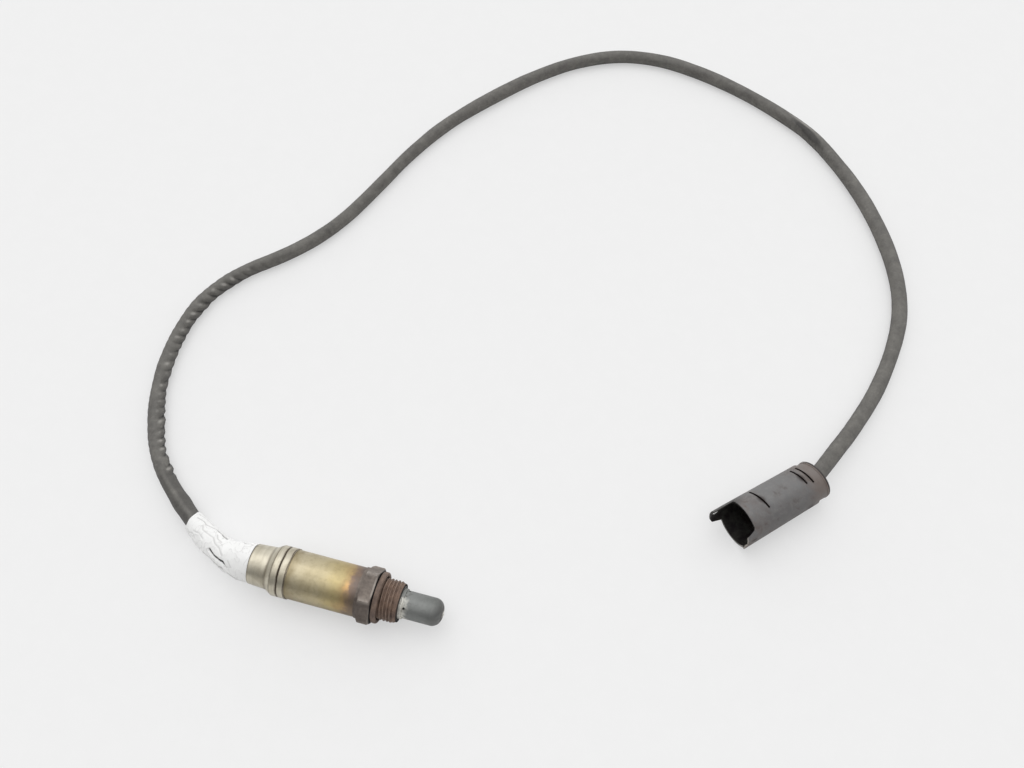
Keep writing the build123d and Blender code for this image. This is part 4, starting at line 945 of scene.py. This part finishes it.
THREAD_START = 16.35        # behind the ring's front face, in mm
THREAD_BORE = 7.6           # inner radius of the ridge piece, in mm
THREAD_ROOT = 8.25
THREAD_DEPTH = 0.75
THREAD_ROWS, THREAD_SIDES = 96, 144
thread_lid = [              # the highest radius at stations in mm: both ends taper
    (16.35, 8.5), (17.2, 8.9), (18.4, 9.0), (22.8, 8.95), (25.1, 8.15),
]


def thread_radius(x, step):
    """Radius in mm of the nicked and scarred ridge at a station and a step round."""
    angle = 2 * math.pi * step / THREAD_SIDES
    turn = (x / THREAD_PITCH - step / THREAD_SIDES) % 1.0
    tooth = min(1.0, max(0.0, (0.5 - abs(turn - 0.5)) * 2.6 - 0.15))
    nick = noise.noise(Vector((x * 0.9, math.cos(angle) * 6, math.sin(angle) * 6)))
    scar = noise.noise(Vector((x * 2.6, math.cos(angle) * 14, math.sin(angle) * 14)))
    crest = THREAD_ROOT + THREAD_DEPTH * tooth + 0.22 * nick * tooth + 0.16 * scar
    return min(crest, eased(thread_lid, x))


def thread_ring(shape, x, radii):
    """A ring of corners round the probe's axis at a station in mm."""
    ring = []
    for step, radius in enumerate(radii):
        angle = 2 * math.pi * step / THREAD_SIDES
        ring.append(shape.verts.new((x * MM, radius * MM * math.cos(angle),
                                     PROBE_HEIGHT + radius * MM * math.sin(angle))))
    return ring


def thread_ridge():
    """The thread's flanks as one grid wrapped round the probe's axis, closed inside."""
    end = THREAD_END / MM
    shape = bmesh.new()
    outer = []
    for row in range(THREAD_ROWS + 1):
        x = THREAD_START + (end - THREAD_START) * row / THREAD_ROWS
        radii = [thread_radius(x, step) for step in range(THREAD_SIDES)]
        outer.append(thread_ring(shape, x, radii))
    rear, front = [thread_ring(shape, x, [THREAD_BORE] * THREAD_SIDES)
                   for x in (THREAD_START, end)]
    skin(shape, outer + [front, rear, outer[0]])
    bmesh.ops.recalc_face_normals(shape, faces=shape.faces)
    return mesh_object("thread_ridge", shape)


body_piece = hexagon_body()
body_piece.data.materials.append(rust_finish("scaled_hexagon", tint(76, 67, 61), tint(118, 108, 100),
                                             tint(148, 138, 128), worn_corners_and_shade))
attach(body_piece, "root")
ridge_piece = finished(thread_ridge(), rust_finish("rusted_thread", tint(74, 58, 50),
                                                   tint(112, 92, 80), tint(138, 114, 98),
                                                   worn_thread))
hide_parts("hex_body")
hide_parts("hex_body")

# ---------------------------------------------------------------- floor, light and backdrop
FLOOR_GLOW = 0.55
bpy.ops.object.select_all(action="DESELECT")
bpy.ops.mesh.primitive_plane_add(size=8, location=(0.04, 0.12, 0))
floor = bpy.context.object
floor.name = "pale_floor"
floor_finish = Finish("pale_floor", Roughness=0.9, Specular_IOR_Level=0.1)
floor_finish.set("Base Color", floor_finish.ramp(floor_finish.grain(90, 6, 0.7),
                                                 (0.3, tint(237, 237, 237)),
                                                 (0.7, tint(240, 240, 240))))
# Backlit paper: half of what is seen of the floor is its own even glow, so shadows stay pale.
nodes, links = floor_finish.nodes, floor_finish.links
paper = floor_finish.material.node_tree.nodes["Material Output"]
lit = paper.inputs["Surface"].links[0].from_socket
glow = nodes.new("ShaderNodeEmission")
glow.inputs["Color"].default_value = tint(238, 238, 238)
seen_by = nodes.new("ShaderNodeLightPath")
blend = nodes.new("ShaderNodeMixShader")
links.new(floor_finish.math("MULTIPLY", seen_by.outputs["Is Camera Ray"], FLOOR_GLOW),
          blend.inputs["Fac"])
links.new(lit, blend.inputs[1])
links.new(glow.outputs["Emission"], blend.inputs[2])
links.new(blend.outputs["Shader"], paper.inputs["Surface"])
floor.data.materials.append(floor_finish.material)

world = bpy.data.worlds.new("pale_room")
bpy.context.scene.world = world
world.use_nodes = True
tree = world.node_tree
room = tree.nodes["Background"]
seen = tree.nodes.new("ShaderNodeBackground")
seen.inputs["Color"].default_value = tint(238, 238, 238)
seen.inputs["Strength"].default_value = 1.0
room.inputs["Color"].default_value = (1, 1, 1, 1)
# Brighter overhead and behind, darker in front.
sky = tree.nodes.new("ShaderNodeTexCoord")
level = tree.nodes.new("ShaderNodeVectorMath")
level.operation = "DOT_PRODUCT"
level.inputs[1].default_value = (-0.1, 0.72, 0.68)
tree.links.new(sky.outputs["Generated"], level.inputs[0])
fade = tree.nodes.new("ShaderNodeMapRange")
fade.inputs["From Min"].default_value = -0.25
fade.inputs["From Max"].default_value = 0.75
fade.inputs["To Min"].default_value = 0.24
fade.inputs["To Max"].default_value = 1.12
tree.links.new(level.outputs["Value"], fade.inputs["Value"])
tree.links.new(fade.outputs["Result"], room.inputs["Strength"])
path = tree.nodes.new("ShaderNodeLightPath")
through = tree.nodes.new("ShaderNodeMath")
through.operation = "MAXIMUM"
tree.links.new(path.outputs["Is Camera Ray"], through.inputs[0])
tree.links.new(path.outputs["Is Transmission Ray"], through.inputs[1])
choice = tree.nodes.new("ShaderNodeMixShader")
tree.links.new(through.outputs[0], choice.inputs["Fac"])
tree.links.new(room.outputs["Background"], choice.inputs[1])
tree.links.new(seen.outputs["Background"], choice.inputs[2])
tree.links.new(choice.outputs[0], tree.nodes["World Output"].inputs["Surface"])


def soft_lamp(name, towards, strength, width):
    """A broad, even lamp, far away in the direction given."""
    turn = Vector(towards).to_track_quat("Z", "Y").to_euler()
    bpy.ops.object.light_add(type="SUN", rotation=turn, location=Vector(towards))
    lamp = bpy.context.object
    lamp.name = name
    lamp.data.energy = strength
    lamp.data.angle = math.radians(width)


soft_lamp("back_lamp", (-0.25, 0.3, 0.92), 0.5, 50)
soft_lamp("front_lamp", (-0.15, -0.3, 0.94), 0.22, 40)

bpy.context.scene.view_settings.view_transform = "Standard"
